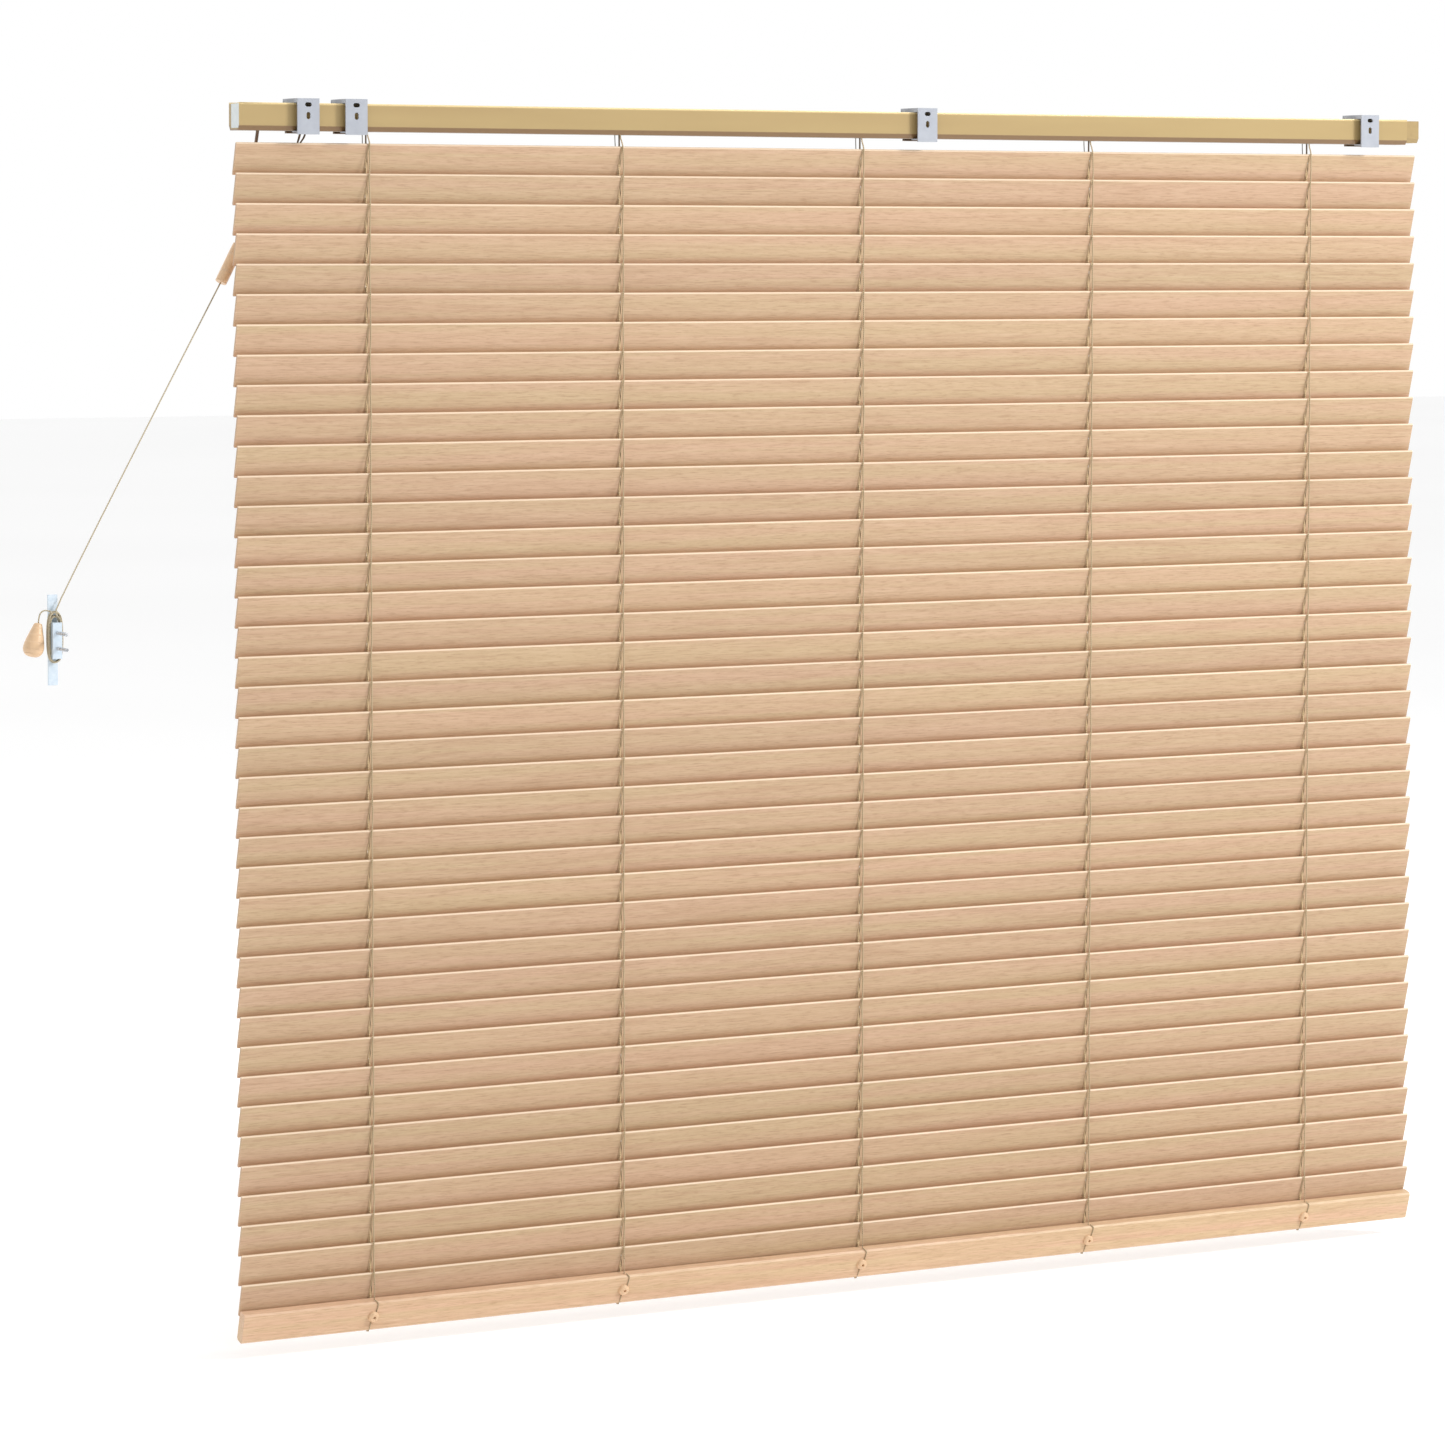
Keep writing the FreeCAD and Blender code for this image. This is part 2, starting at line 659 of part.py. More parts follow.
ROUND_BASE = "0.2"
hollow = box(
    "winding_hollow",
    (f"{CLEAT_X[0]} - {ROUND_BASE}", f"{CLEAT_X[1]} + {ROUND_BASE}"),
    ("winding_front - 1", "winding_back + 1"),
    (f"{BASE_Z[0]} - {ROUND_BASE}", f"{BASE_Z[1]} + {ROUND_BASE}"),
)
node(cut("winding", oval("winding_outer", "winding_width", "winding_height"), hollow), "cord_winding")


# ---------------------------------------------------------------- cords
def tube(points, radius, report=""):
    """A round cord along straight runs joined by tangent arcs, one at each inner point."""
    spots = [FreeCAD.Vector(*p) for p in points]
    edges = []
    start = spots[0]
    radii = []
    for before, here, after in zip(spots, spots[1:], spots[2:]):
        back = (before - here).normalize()
        ahead = (after - here).normalize()
        turn = math.pi - back.getAngle(ahead)
        trim = 0.45 * min((before - here).Length, (after - here).Length)
        radii.append(trim / math.tan(turn / 2))
        middle = (back + ahead).normalize()
        hub = here + middle * (trim / math.cos((math.pi - turn) / 2))
        first = here + back * trim
        last = here + ahead * trim
        edges.append(Part.LineSegment(start, first).toShape())
        edges.append(Part.Arc(first, hub + (here - hub).normalize() * radii[-1], last).toShape())
        start = last
    edges.append(Part.LineSegment(start, spots[-1]).toShape())
    path = Part.Wire(edges)
    ring = Part.Wire([Part.Circle(spots[0], spots[1] - spots[0], radius).toShape()])
    solid = path.makePipeShell([ring], True, False)
    if report:
        rounded = [round(r, 1) for r in radii]
        share = solid.Volume / (math.pi * radius**2 * path.Length)
        print(f"{report}: length {path.Length:.1f} mm, bend radii {rounded} mm, volume share {share:.4f}")
    return solid


def feature(name, shape, label, placement=FreeCAD.Placement()):
    """A sub-part whose shape is made by Part's own functions."""
    thing = doc.addObject("Part::Feature", name)
    thing.Shape = shape
    thing.Placement = placement
    return node(thing, label)


def upright(x, y, low, high, radius):
    """A straight cord from low to high."""
    return Part.makeCylinder(radius, high - low, FreeCAD.Vector(x, y, low), Z_AXIS)


tilt = math.radians(cell("slat_tilt"))
travel = cell("slat_width") * math.sin(tilt)
ladder_x = [k * cell("ladder_spacing") for k in LADDERS]
foot_z = cell("first_slat_z") - (SLATS - 1) * cell("slat_pitch") - cell("foot_drop")
pivot_y = cell("pivot_y")
rail_bottom = cell("rail_bottom")
GAP = 0.5
FOOT_TOUCH = -2.9  # where an upright cord on the room side comes to the bottom rail, from the rail's pivot

# the wall-side cords sink by the whole travel when the slats turn over, and the room-side ones rise by it
wall_top = rail_bottom - GAP
wall_end = foot_z + FOOT_TOUCH + GAP + travel
room_top = wall_top - travel
room_end = foot_z + FOOT_TOUCH + GAP
reach = cell("ladder_reach")
thin = cell("ladder_radius")
wall_cords = [upright(x, pivot_y + reach, wall_end, wall_top, thin) for x in ladder_x]
room_cords = [upright(x, pivot_y - reach, room_end, room_top, thin) for x in ladder_x]
feature("wall_ladders", Part.makeCompound(wall_cords), "ladder_cords_window")
feature("room_ladders", Part.makeCompound(room_cords), "ladder_cords_room")

# each lift cord hangs through the slats; the five strands leave the lock and meet in the condenser
EXIT = (cell("lock_x"), cell("exit_y") + 1.6, rail_bottom - 0.4)
SHOULDER = (676.0, -43.0, -54.0)
CONDENSER_TOP = (729.4, -58.6, -146.0)
CONDENSER_FOOT = (751.6, -55.0, -185.0)
WINDING_TOP = (959.0, -9.0, -520.2)
lift_top = rail_bottom - GAP
FOOT_EDGE = 19.5  # the bottom rail's upper edge, with a gap, from its pivot
lift_end = foot_z + FOOT_EDGE
lifts = [upright(x, pivot_y, lift_end, lift_top, cell("lift_radius")) for x in ladder_x]
STRAND_ROUTE = ((EXIT, 1.6), (SHOULDER, 1.2), (CONDENSER_TOP, 1.0))
for spread in (-1.8, 0.0, 1.8):
    lifts.append(tube([(x + share * spread, y, z) for (x, y, z), share in STRAND_ROUTE], thin))
feature("lifts", Part.makeCompound(lifts), "lift_cords")


def turned_piece(name, label, top, foot, profile):
    """A round piece about the line from top to foot; profile gives distance along the line and radius."""
    start = FreeCAD.Vector(*top)
    line = FreeCAD.Vector(*foot) - start
    points = [FreeCAD.Vector(radius, 0, along) for along, radius in profile]
    face = Part.Face(Part.makePolygon(points + points[:1]))
    solid = face.revolve(FreeCAD.Vector(), Z_AXIS, 360)
    return feature(name, solid, label, FreeCAD.Placement(start, FreeCAD.Rotation(Z_AXIS, line)))


length = (FreeCAD.Vector(*CONDENSER_FOOT) - FreeCAD.Vector(*CONDENSER_TOP)).Length
BARREL = 6.3
EDGE = 1.2
condenser_profile = [(0, 0), (0, BARREL - EDGE), (EDGE, BARREL)]
condenser_profile += [(length - along, radius) for along, radius in reversed(condenser_profile)]
turned_piece("condenser", "cord_condenser", CONDENSER_TOP, CONDENSER_FOOT, condenser_profile)

pull = cell("pull_radius")
TASSEL_TOP = (973.0, -12.5, -531.5)
TASSEL_FOOT = (980.6, -12.5, -566.0)
TAIL = [
    (961.0, -9.3, -520.4),
    (965.6, -10.1, -518.4),
    (970.4, -11.0, -519.8),
    (972.8, -12.0, -525.4),
    TASSEL_TOP,
]
taut = tube([CONDENSER_FOOT, WINDING_TOP], pull, "taut pull cord")
tail = tube(TAIL, pull, "cord's tail")
feature("pull", Part.makeCompound([taut, tail]), "pull_cord")

TASSEL_PROFILE = [
    (0, 0),
    (0, 4.0),
    (2.5, 5.2),
    (9, 7.2),
    (17, 9.6),
    (24, 10.8),
    (29, 10.2),
    (33, 7.6),
    (35, 3.6),
    (35.3, 0),
]
turned_piece("drop", "tassel", TASSEL_TOP, TASSEL_FOOT, TASSEL_PROFILE)

# ---------------------------------------------------------------- checks and files
doc.recompute()
faults = [f"{o.Label}: {o.State}" for o in doc.Objects if {"Invalid", "Error"} & set(o.State)]
faults += [f"{n.Label}: bad shape" for n in nodes if n.Shape.isNull() or not n.Shape.isValid()]
if faults:
    raise SystemExit("\n".join(faults))
os.makedirs("parts", exist_ok=True)
for thing in nodes:
    thing.Shape.exportStep(f"parts/{thing.Label}.step")
print(len(nodes), "sub-parts,", round(sum(n.Shape.Volume for n in nodes) / 1000), "cm3")
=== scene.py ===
"""Wooden venetian blind: finished surfaces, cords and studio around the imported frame.

Metres; +X runs along the headrail towards the controls, +Y points at the wall, +Z is up.
Every slat hangs closed with its wall edge up. The camera stands on the wall side.
"""

import json
import math

import bpy
import numpy as np
from mathutils import Matrix, Vector


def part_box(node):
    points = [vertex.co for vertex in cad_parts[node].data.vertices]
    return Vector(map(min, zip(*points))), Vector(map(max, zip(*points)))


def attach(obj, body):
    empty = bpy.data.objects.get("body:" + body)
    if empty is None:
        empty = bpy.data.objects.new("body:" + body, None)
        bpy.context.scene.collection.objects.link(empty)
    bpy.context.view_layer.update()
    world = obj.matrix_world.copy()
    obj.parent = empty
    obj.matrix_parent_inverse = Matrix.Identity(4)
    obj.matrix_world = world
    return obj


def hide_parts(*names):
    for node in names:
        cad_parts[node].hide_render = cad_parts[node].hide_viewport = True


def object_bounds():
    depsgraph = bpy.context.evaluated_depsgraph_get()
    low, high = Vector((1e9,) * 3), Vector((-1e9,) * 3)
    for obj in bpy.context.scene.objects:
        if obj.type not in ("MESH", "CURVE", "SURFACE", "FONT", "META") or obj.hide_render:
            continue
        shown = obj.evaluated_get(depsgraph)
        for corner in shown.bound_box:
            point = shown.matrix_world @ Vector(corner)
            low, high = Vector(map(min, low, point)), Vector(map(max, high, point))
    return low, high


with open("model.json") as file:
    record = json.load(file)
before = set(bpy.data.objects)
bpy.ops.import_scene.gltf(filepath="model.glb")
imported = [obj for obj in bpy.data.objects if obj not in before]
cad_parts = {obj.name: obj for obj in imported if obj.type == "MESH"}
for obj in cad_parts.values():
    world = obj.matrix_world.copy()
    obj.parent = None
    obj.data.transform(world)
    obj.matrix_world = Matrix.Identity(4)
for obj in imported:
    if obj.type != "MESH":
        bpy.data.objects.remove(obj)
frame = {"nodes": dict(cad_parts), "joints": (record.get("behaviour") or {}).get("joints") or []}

CAD_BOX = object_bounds()

MM = 0.001


# ---------------------------------------------------------------- measures taken from the frame
def corners(node):
    """The lowest and highest corners of a node at rest, as arrays."""
    low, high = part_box(node)
    return np.array(low, float), np.array(high, float)


SLATS = sorted(name for name in frame["nodes"] if name.startswith("slat_"))
RAIL_LOW, RAIL_HIGH = corners("headrail")
WINDOW_LOW, WINDOW_HIGH = corners("ladder_cords_window")
ROOM_LOW, ROOM_HIGH = corners("ladder_cords_room")
RAIL_FLOOR = RAIL_LOW[2]
BRACKET_X = (0.675, 0.620, -0.075, -0.675)
BEND_HIGH = 5 * MM                # the channel's lower corners are bent in from here down, where the rail's colour takes painted shade
LADDER_R = (WINDOW_HIGH[1] - WINDOW_LOW[1]) / 2
WINDOW_Y = (WINDOW_HIGH[1] + WINDOW_LOW[1]) / 2
ROOM_Y = (ROOM_HIGH[1] + ROOM_LOW[1]) / 2
PIVOT_Y = (WINDOW_Y + ROOM_Y) / 2
LADDER_X = np.linspace(WINDOW_LOW[0] + LADDER_R, WINDOW_HIGH[0] - LADDER_R, 5)

HINGES = {j["child"]: np.array(j["pos_m"], float) for j in frame["joints"] if j.get("pos_m") is not None}
FOOT = HINGES["bottom_rail"]
SLAT_Z = np.array([HINGES[name][2] for name in SLATS])
PITCH = (SLAT_Z[0] - SLAT_Z[-1]) / (len(SLATS) - 1)

TILT = math.radians(74)
ACROSS = np.array([0.0, math.cos(TILT), math.sin(TILT)])    # across a slat, towards its upper, wall-side edge
UNDER = np.array([0.0, math.sin(TILT), -math.cos(TILT)])    # out of a slat's underside, which faces the wall
FIRST = np.array([0.0, PIVOT_Y, SLAT_Z[0]])                 # the first slat's middle
SLAT_HALF = 17.5 * MM
SLAT_SKIN = 1.5 * MM
TRAVEL = 2 * SLAT_HALF * math.sin(TILT)     # how far uprights rise or sink when the slats turn over


# ---------------------------------------------------------------- meshes
def new_piece(name, points, faces, body, material, smooth=True, uv=None):
    """A mesh object at the origin, riding on a body, with the given material."""
    mesh = bpy.data.meshes.new(name)
    mesh.from_pydata(points.tolist(), [], faces if isinstance(faces, list) else faces.tolist())
    if uv is not None:
        layer = mesh.uv_layers.new(name="UVMap")
        loops = np.empty(len(mesh.loops), int)
        mesh.loops.foreach_get("vertex_index", loops)
        layer.data.foreach_set("uv", uv[loops].ravel())
    mesh.polygons.foreach_set("use_smooth", np.full(len(mesh.polygons), smooth))
    mesh.materials.append(material)
    piece = bpy.data.objects.new(name, mesh)
    bpy.context.collection.objects.link(piece)
    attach(piece, body)
    return piece


def unit(vectors):
    """Vectors brought to length one."""
    return vectors / np.linalg.norm(vectors, axis=-1, keepdims=True)


def tube(path, radius, sides=8, side=(1.0, 0.0, 0.0)):
    """A round tube along path, closed by a fan at each end.

    Ring i is path[i] + radius[i] * (cos(a) * n + sin(a) * b), where n is side made square to the path's
    direction and b is their cross product. Returns points, faces and (angle share, metres along) per point.
    """
    path = np.asarray(path, float)
    radius = np.broadcast_to(np.asarray(radius, float), (len(path),))
    ahead = unit(np.gradient(path, axis=0))
    aside = np.asarray(side, float)
    normal = unit(aside - (ahead @ aside)[:, None] * ahead)
    other = np.cross(ahead, normal)
    angle = np.linspace(0, math.tau, sides, endpoint=False)
    angles = angle[None, :, None]
    ring = np.cos(angles) * normal[:, None, :] + np.sin(angles) * other[:, None, :]
    points = (path[:, None, :] + radius[:, None, None] * ring).reshape(-1, 3)
    along = np.concatenate([[0], np.cumsum(np.linalg.norm(np.diff(path, axis=0), axis=1))])
    uv = np.stack(np.broadcast_arrays(angle[None, :] / math.tau, along[:, None]), -1).reshape(-1, 2)
    row, column = np.meshgrid(np.arange(len(path) - 1), np.arange(sides), indexing="ij")
    here = row * sides + column
    beside = row * sides + (column + 1) % sides
    faces = np.stack([here, beside, beside + sides, here + sides], -1).reshape(-1, 4).tolist()
    last = (len(path) - 1) * sides
    faces.append(list(range(sides))[::-1])
    faces.append(list(range(last, last + sides)))
    return points, faces, uv


def join(parts):
    """Several (points, faces, uv) sets as one."""
    points, faces, uvs, count = [], [], [], 0
    for part_points, part_faces, part_uv in parts:
        points.append(part_points)
        uvs.append(part_uv)
        faces += [[index + count for index in face] for face in part_faces]
        count += len(part_points)
    return np.concatenate(points), faces, np.concatenate(uvs)


def tubes(name, paths, radius, body, material, sides=8, side=(1.0, 0.0, 0.0)):
    """One piece made of a tube along each path."""
    points, faces, uv = join([tube(path, radius, sides, side) for path in paths])
    return new_piece(name, points, faces, body, material, uv=uv)


def turned(name, start, end, profile, body, slot, material, turns):
    """A turned piece: (share of the way from start to end, radius) swept round that line.

    Point (i, j) is start + s_i * (end - start) + r_i * (cos(a_j) * n + sin(a_j) * b).
    """
    start, end = np.asarray(start, float), np.asarray(end, float)
    share = np.array([p[0] for p in profile], float)
    radius = np.array([p[1] for p in profile], float)
    path = start + share[:, None] * (end - start)
    line = unit(end - start)
    aside = np.array([0.0, 1.0, 0.0]) if abs(line[1]) < 0.9 else np.array([1.0, 0.0, 0.0])
    normal = unit(aside - (aside @ line) * line)
    other = np.cross(line, normal)
    angle = np.linspace(0, math.tau, turns, endpoint=False)
    ring = np.cos(angle)[:, None] * normal + np.sin(angle)[:, None] * other
    points = (path[:, None, :] + radius[:, None, None] * ring[None]).reshape(-1, 3)
    row, column = np.meshgrid(np.arange(len(path) - 1), np.arange(turns), indexing="ij")
    here = row * turns + column
    beside = row * turns + (column + 1) % turns
    faces = np.stack([here, beside, beside + turns, here + turns], -1).reshape(-1, 4).tolist()
    last = (len(path) - 1) * turns
    faces.append(list(range(turns))[::-1])
    faces.append(list(range(last, last + turns)))
    return new_piece(name, points, faces, body, material)


def round_over(points, samples=9):
    """A profile with its inner corners eased: each is a quadratic curve between edge middles."""
    points = np.asarray(points, float)
    middles = (points[:-1] + points[1:]) / 2
    t = np.linspace(0, 1, samples)[:, None]
    curves = [points[:1]]
    for a, b, c in zip(middles[:-1], points[1:-1], middles[1:]):
        curves.append((1 - t) ** 2 * a + 2 * t * (1 - t) * b + t**2 * c)
    curves.append(points[-1:])
    return np.concatenate(curves)


# ---------------------------------------------------------------- materials
def srgb(red, green, blue):
    """An 8-bit colour as linear RGBA."""
    values = np.array([red, green, blue]) / 255
    linear = np.where(values <= 0.04045, values / 12.92, ((values + 0.055) / 1.055) ** 2.4)
    return (*linear.tolist(), 1.0)


class Nodes:
    """A material's node tree, built a node at a time."""

    def __init__(self, name):
        self.material = bpy.data.materials.new(name)
        self.material.use_nodes = True
        self.tree = self.material.node_tree
        self.shader = self.tree.nodes["Principled BSDF"]

    def add(self, kind, settings=(), **inputs):
        """A node; settings are its own values, inputs are numbers, colours or other nodes' sockets."""
        made = self.tree.nodes.new(kind)
        for key, value in dict(settings).items():
            setattr(made, key, value)
        for key, value in inputs.items():
            self.put(made, key, value)
        return made

    def put(self, made, key, value):
        """Set one input by its name or, after an underscore, its number."""
        socket = made.inputs[int(key[1:])] if key[0] == "_" else made.inputs[key.replace("_", " ")]
        if isinstance(value, bpy.types.NodeSocket):
            self.tree.links.new(value, socket)
        else:
            socket.default_value = value

    def math(self, operation, a, b=0.0):
        """One sum on two values."""
        return self.add("ShaderNodeMath", {"operation": operation}, _0=a, _1=b).outputs[0]

    def mix(self, factor, a, b, blend="MIX"):
        """Two colours mixed."""
        made = self.add("ShaderNodeMix", {"data_type": "RGBA", "blend_type": blend})
        self.put(made, "_0", factor)
        self.put(made, "_6", a)
        self.put(made, "_7", b)
        return made.outputs[2]

    def place(self, scale, shift=None):
        """Object coordinates stretched by scale and slid by shift."""
        coordinates = self.add("ShaderNodeTexCoord").outputs["Object"]
        if shift is not None:
            slid = self.add("ShaderNodeVectorMath", {"operation": "ADD"}, _0=coordinates, _1=shift)
            coordinates = slid.outputs[0]
        return self.add("ShaderNodeMapping", Vector=coordinates, Scale=scale).outputs[0]

    def dot(self, spot, direction):
        """How far a point lies along a fixed direction."""
        made = self.add("ShaderNodeVectorMath", {"operation": "DOT_PRODUCT"}, _0=spot)
        made.inputs[1].default_value = direction.tolist()
        return made.outputs["Value"]

    def noise(self, where, scale=1.0, detail=3.0, rough=0.55, warp=0.0):
        """Smooth noise from 0 to 1."""
        plain = {"Scale": scale, "Detail": detail, "Roughness": rough, "Distortion": warp}
        return self.add("ShaderNodeTexNoise", Vector=where, **plain).outputs["Fac"]

    def spot(self):
        """The three Object coordinates."""
        spot = self.add("ShaderNodeTexCoord").outputs["Object"]
        return self.add("ShaderNodeSeparateXYZ", _0=spot).outputs

    def ramp(self, factor, low, high, dark=0.0, light=1.0):
        """A value carried from low..high to dark..light, clamped."""
        made = self.add("ShaderNodeMapRange", {"clamp": True}, Value=factor)
        for key, value in (("From Min", low), ("From Max", high), ("To Min", dark), ("To Max", light)):
            made.inputs[key].default_value = value
        return made.outputs[0]

    def finish(self, color, rough, height=None, strength=0.2, depth=0.0002, **plain):
        """Wire colour, roughness and bump to the shader; plain values are set on its own sockets."""
        self.put(self.shader, "Base Color", color)
        self.put(self.shader, "Roughness", rough)
        if height is not None:
            bump = self.add("ShaderNodeBump", Strength=strength, Distance=depth, Height=height)
            self.put(self.shader, "Normal", bump.outputs[0])
        for key, value in plain.items():
            self.shader.inputs[key.replace("_", " ")].default_value = value
        return self.material


LACQUER = {"Specular_IOR_Level": 0.4, "Coat_Weight": 0.06, "Coat_Roughness": 0.35}


def boards(n, shift):
    """Pale wood cut along X: slow pink and honey bands, a faint figure, fine short streaks and pores."""
    bands = n.noise(n.place((1.2, 62.0, 62.0), shift), detail=2.0, warp=0.3)
    figure = n.noise(n.place((3.4, 60.0, 60.0), shift), detail=3.0, warp=2.2)
    streaks = n.noise(n.place((14.0, 480.0, 480.0), shift), detail=4.0, rough=0.66, warp=0.6)
    pores = n.noise(n.place((60.0, 900.0, 900.0), shift), detail=3.0, rough=0.7)
    color = n.mix(n.ramp(bands, 0.36, 0.64), srgb(214, 185, 147), srgb(218, 181, 150))
    color = n.mix(n.ramp(figure, 0.54, 0.7, 0.0, 0.4), color, srgb(200, 160, 128))
    color = n.mix(n.ramp(streaks, 0.44, 0.74, 0.0, 0.42), color, srgb(186, 152, 116))
    color = n.mix(n.ramp(streaks, 0.46, 0.3, 0.0, 0.25), color, srgb(232, 206, 174))
    color = n.mix(n.ramp(pores, 0.5, 0.7, 0.0, 0.5), color, srgb(168, 132, 96))
    rough = n.ramp(pores, 0.3, 0.8, 0.42, 0.6)
    height = n.math("ADD", n.math("MULTIPLY", pores, -0.6), n.math("MULTIPLY", streaks, -0.5))
    return color, rough, height


def slat_wood():
    """Lacquered pale wood, each slat its own board.

    A slat's number is its distance along the slats' shared normal over their spacing on it, and a point's
    place across its slat is what is left of its distance along the shared direction across. A painted
    highlight makes the upper edge pale, and painted shade makes the lower part darker and pinker.
    """
    n = Nodes("slat wood")
    spot = n.add("ShaderNodeTexCoord").outputs["Object"]
    slope = PITCH * math.cos(TILT)
    normal = n.dot(spot, UNDER)
    number = n.math("ROUND", n.math("DIVIDE", n.math("SUBTRACT", normal, float(UNDER @ FIRST)), slope))
    own = n.add("ShaderNodeTexWhiteNoise", {"noise_dimensions": "1D"}, W=number)
    slide = n.add("ShaderNodeVectorMath", {"operation": "MULTIPLY"}, _0=own.outputs["Color"])
    slide.inputs[1].default_value = (7.0, 0.9, 0.9)
    middle = n.math("SUBTRACT", float(ACROSS @ FIRST), n.math("MULTIPLY", number, PITCH * math.sin(TILT)))
    across = n.math("SUBTRACT", n.dot(spot, ACROSS), middle)
    color, rough, height = boards(n, slide.outputs[0])
    # Painted shade: each slat's lower part darker and pinker, with painted warm bounce light.
    color = n.mix(n.ramp(across, -0.008, -0.0155, 0.0, 0.4), color, srgb(214, 162, 126))
    # Painted highlight: a pale line along each slat's upper edge.
    color = n.mix(n.ramp(across, 0.0158, 0.0166, 0.0, 0.9), color, srgb(250, 226, 196))
    shade = n.ramp(own.outputs["Value"], 0.0, 1.0, 0.77, 0.82)
    grey = n.add("ShaderNodeCombineColor", _0=shade, _1=shade, _2=shade).outputs[0]
    color = n.mix(1.0, color, grey, "MULTIPLY")
    return n.finish(color, rough, height, 0.3, 0.00025, **LACQUER)


def foot_wood():
    """The bottom rail's board, of the same lacquered wood."""
    n = Nodes("bottom rail wood")
    color, rough, height = boards(n, (3.1, 0.37, 0.21))
    color = n.mix(1.0, color, (0.97, 0.97, 0.97, 1), "MULTIPLY")
    return n.finish(color, rough, height, 0.3, 0.00025, **LACQUER)


def turned_wood():
    """Smooth pale turned wood, grain along the piece, which hangs near upright."""
    n = Nodes("turned wood")
    bands = n.noise(n.place((260.0, 260.0, 26.0)), detail=3.0, warp=0.8)
    pores = n.noise(n.place((1900.0, 1900.0, 120.0)), detail=3.0)
    color = n.mix(n.ramp(bands, 0.2, 0.8), srgb(226, 192, 154), srgb(218, 182, 144))
    color = n.mix(n.ramp(pores, 0.5, 0.75, 0.0, 0.14), color, srgb(190, 148, 110))
    rough = n.ramp(pores, 0.3, 0.8, 0.35, 0.5)
    height = n.math("MULTIPLY", pores, -1.0)
    return n.finish(color, rough, height, 0.2, 0.0002, Coat_Weight=0.25, Coat_Roughness=0.25)


def rail_enamel():
    """Golden beige stove enamel on rolled steel, with faint orange peel and slow clouds.

    Painted shade makes it brown from the lower bends down, a painted highlight makes it pale along the top
    edge, and painted shade darkens it behind the brackets' upper slots.
    """
    n = Nodes("rail enamel")
    cloud = n.noise(n.place((3.0, 30.0, 30.0)), detail=2.0)
    peel = n.noise(n.place((700.0, 1400.0, 1400.0)), detail=2.0)
    across, _, height = n.spot()
    color = n.mix(n.ramp(cloud, 0.3, 0.7), srgb(178, 154, 106), srgb(170, 145, 99))
    bend = RAIL_FLOOR + BEND_HIGH
    top = RAIL_HIGH[2]
    # Painted shade: brown from the lower bends down.
    color = n.mix(n.ramp(height, bend + 0.5 * MM, bend - 0.5 * MM, 0.0, 0.85), color, srgb(112, 80, 46))
    # Painted highlight: a pale line along the top edge.
    color = n.mix(n.ramp(height, top - 2.2 * MM, top - 1.0 * MM, 0.0, 0.8), color, srgb(236, 212, 156))
    x = n.math("ABSOLUTE", n.math("SUBTRACT", across, BRACKET_X[0]))
    for place in BRACKET_X[1:]:
        x = n.math("MINIMUM", x, n.math("ABSOLUTE", n.math("SUBTRACT", across, place)))
    # Painted shade on the rail behind the brackets' upper slots, seen through them.
    slot_shade = n.math("MULTIPLY", n.ramp(x, 9.5 * MM, 8.5 * MM), n.ramp(height, -6 * MM, -5 * MM))
    color = n.mix(n.math("MULTIPLY", slot_shade, 0.9), color, srgb(38, 30, 22))
    rough = n.ramp(peel, 0.3, 0.7, 0.3, 0.4)
    return n.finish(color, rough, peel, 0.12, 0.0001, Metallic=0.1, Coat_Weight=0.3, Coat_Roughness=0.2)


def bracket_enamel(name, shade_lip=False):
    """Cool grey-white powder coating with a fine grainy skin; a gate's lip below the rail's floor is painted
    brown shade.
    """
    n = Nodes(name)
    grain = n.noise(n.place((2600.0, 2600.0, 2600.0)), detail=3.0)
    cloud = n.noise(n.place((60.0, 60.0, 60.0)), detail=2.0)
    color = n.mix(n.ramp(cloud, 0.3, 0.7), srgb(170, 174, 182), srgb(161, 165, 174))
    if shade_lip:
        height = n.spot()[2]
        # Painted shade: the lip below the rail's floor is darkened brown, like the rail's shaded lower bend.
        color = n.mix(n.ramp(height, RAIL_FLOOR + 1.5 * MM, RAIL_FLOOR + 0.5 * MM), color, srgb(104, 80, 52))
    return n.finish(color, n.ramp(grain, 0.3, 0.7, 0.42, 0.55), grain, 0.15, 0.0001, Metallic=0.1)


def plastic(name, light, dark, low, high):
    """Moulded plastic with a faint mottle and matt variation."""
    n = Nodes(name)
    mottle = n.noise(n.place((140.0, 140.0, 140.0)), detail=3.0)
    skin = n.noise(n.place((1500.0, 1500.0, 1500.0)), detail=2.0)
    color = n.mix(n.ramp(mottle, 0.3, 0.7), light, dark)
    return n.finish(color, n.ramp(skin, 0.3, 0.7, low, high), skin, 0.08, 0.0001)


def cap_finish():
    """Tan plastic like the rail's enamel, with a white panel on the outer end of the +X cap."""
    n = Nodes("end cap plastic")
    x, y, z = n.spot()
    skin = n.noise(n.place((900.0, 900.0, 900.0)), detail=2.0)
    mottle = n.noise(n.place((140.0, 140.0, 140.0)), detail=3.0)
    tan = n.mix(n.ramp(mottle, 0.3, 0.7), srgb(166, 142, 96), srgb(158, 134, 90))
    white = n.mix(n.ramp(mottle, 0.3, 0.7), srgb(214, 220, 219), srgb(204, 211, 211))
    side = n.ramp(y, RAIL_LOW[1] + 5.6 * MM, RAIL_LOW[1] + 6.2 * MM)
    foot = n.ramp(z, RAIL_FLOOR + 2.2 * MM, RAIL_FLOOR + 2.8 * MM)
    panel = n.math("MULTIPLY", n.math("MULTIPLY", side, foot), n.ramp(x, -1 * MM, 1 * MM))
    color = n.mix(panel, tan, white)
    return n.finish(color, n.ramp(skin, 0.3, 0.7, 0.36, 0.5), skin, 0.08, 0.0001)


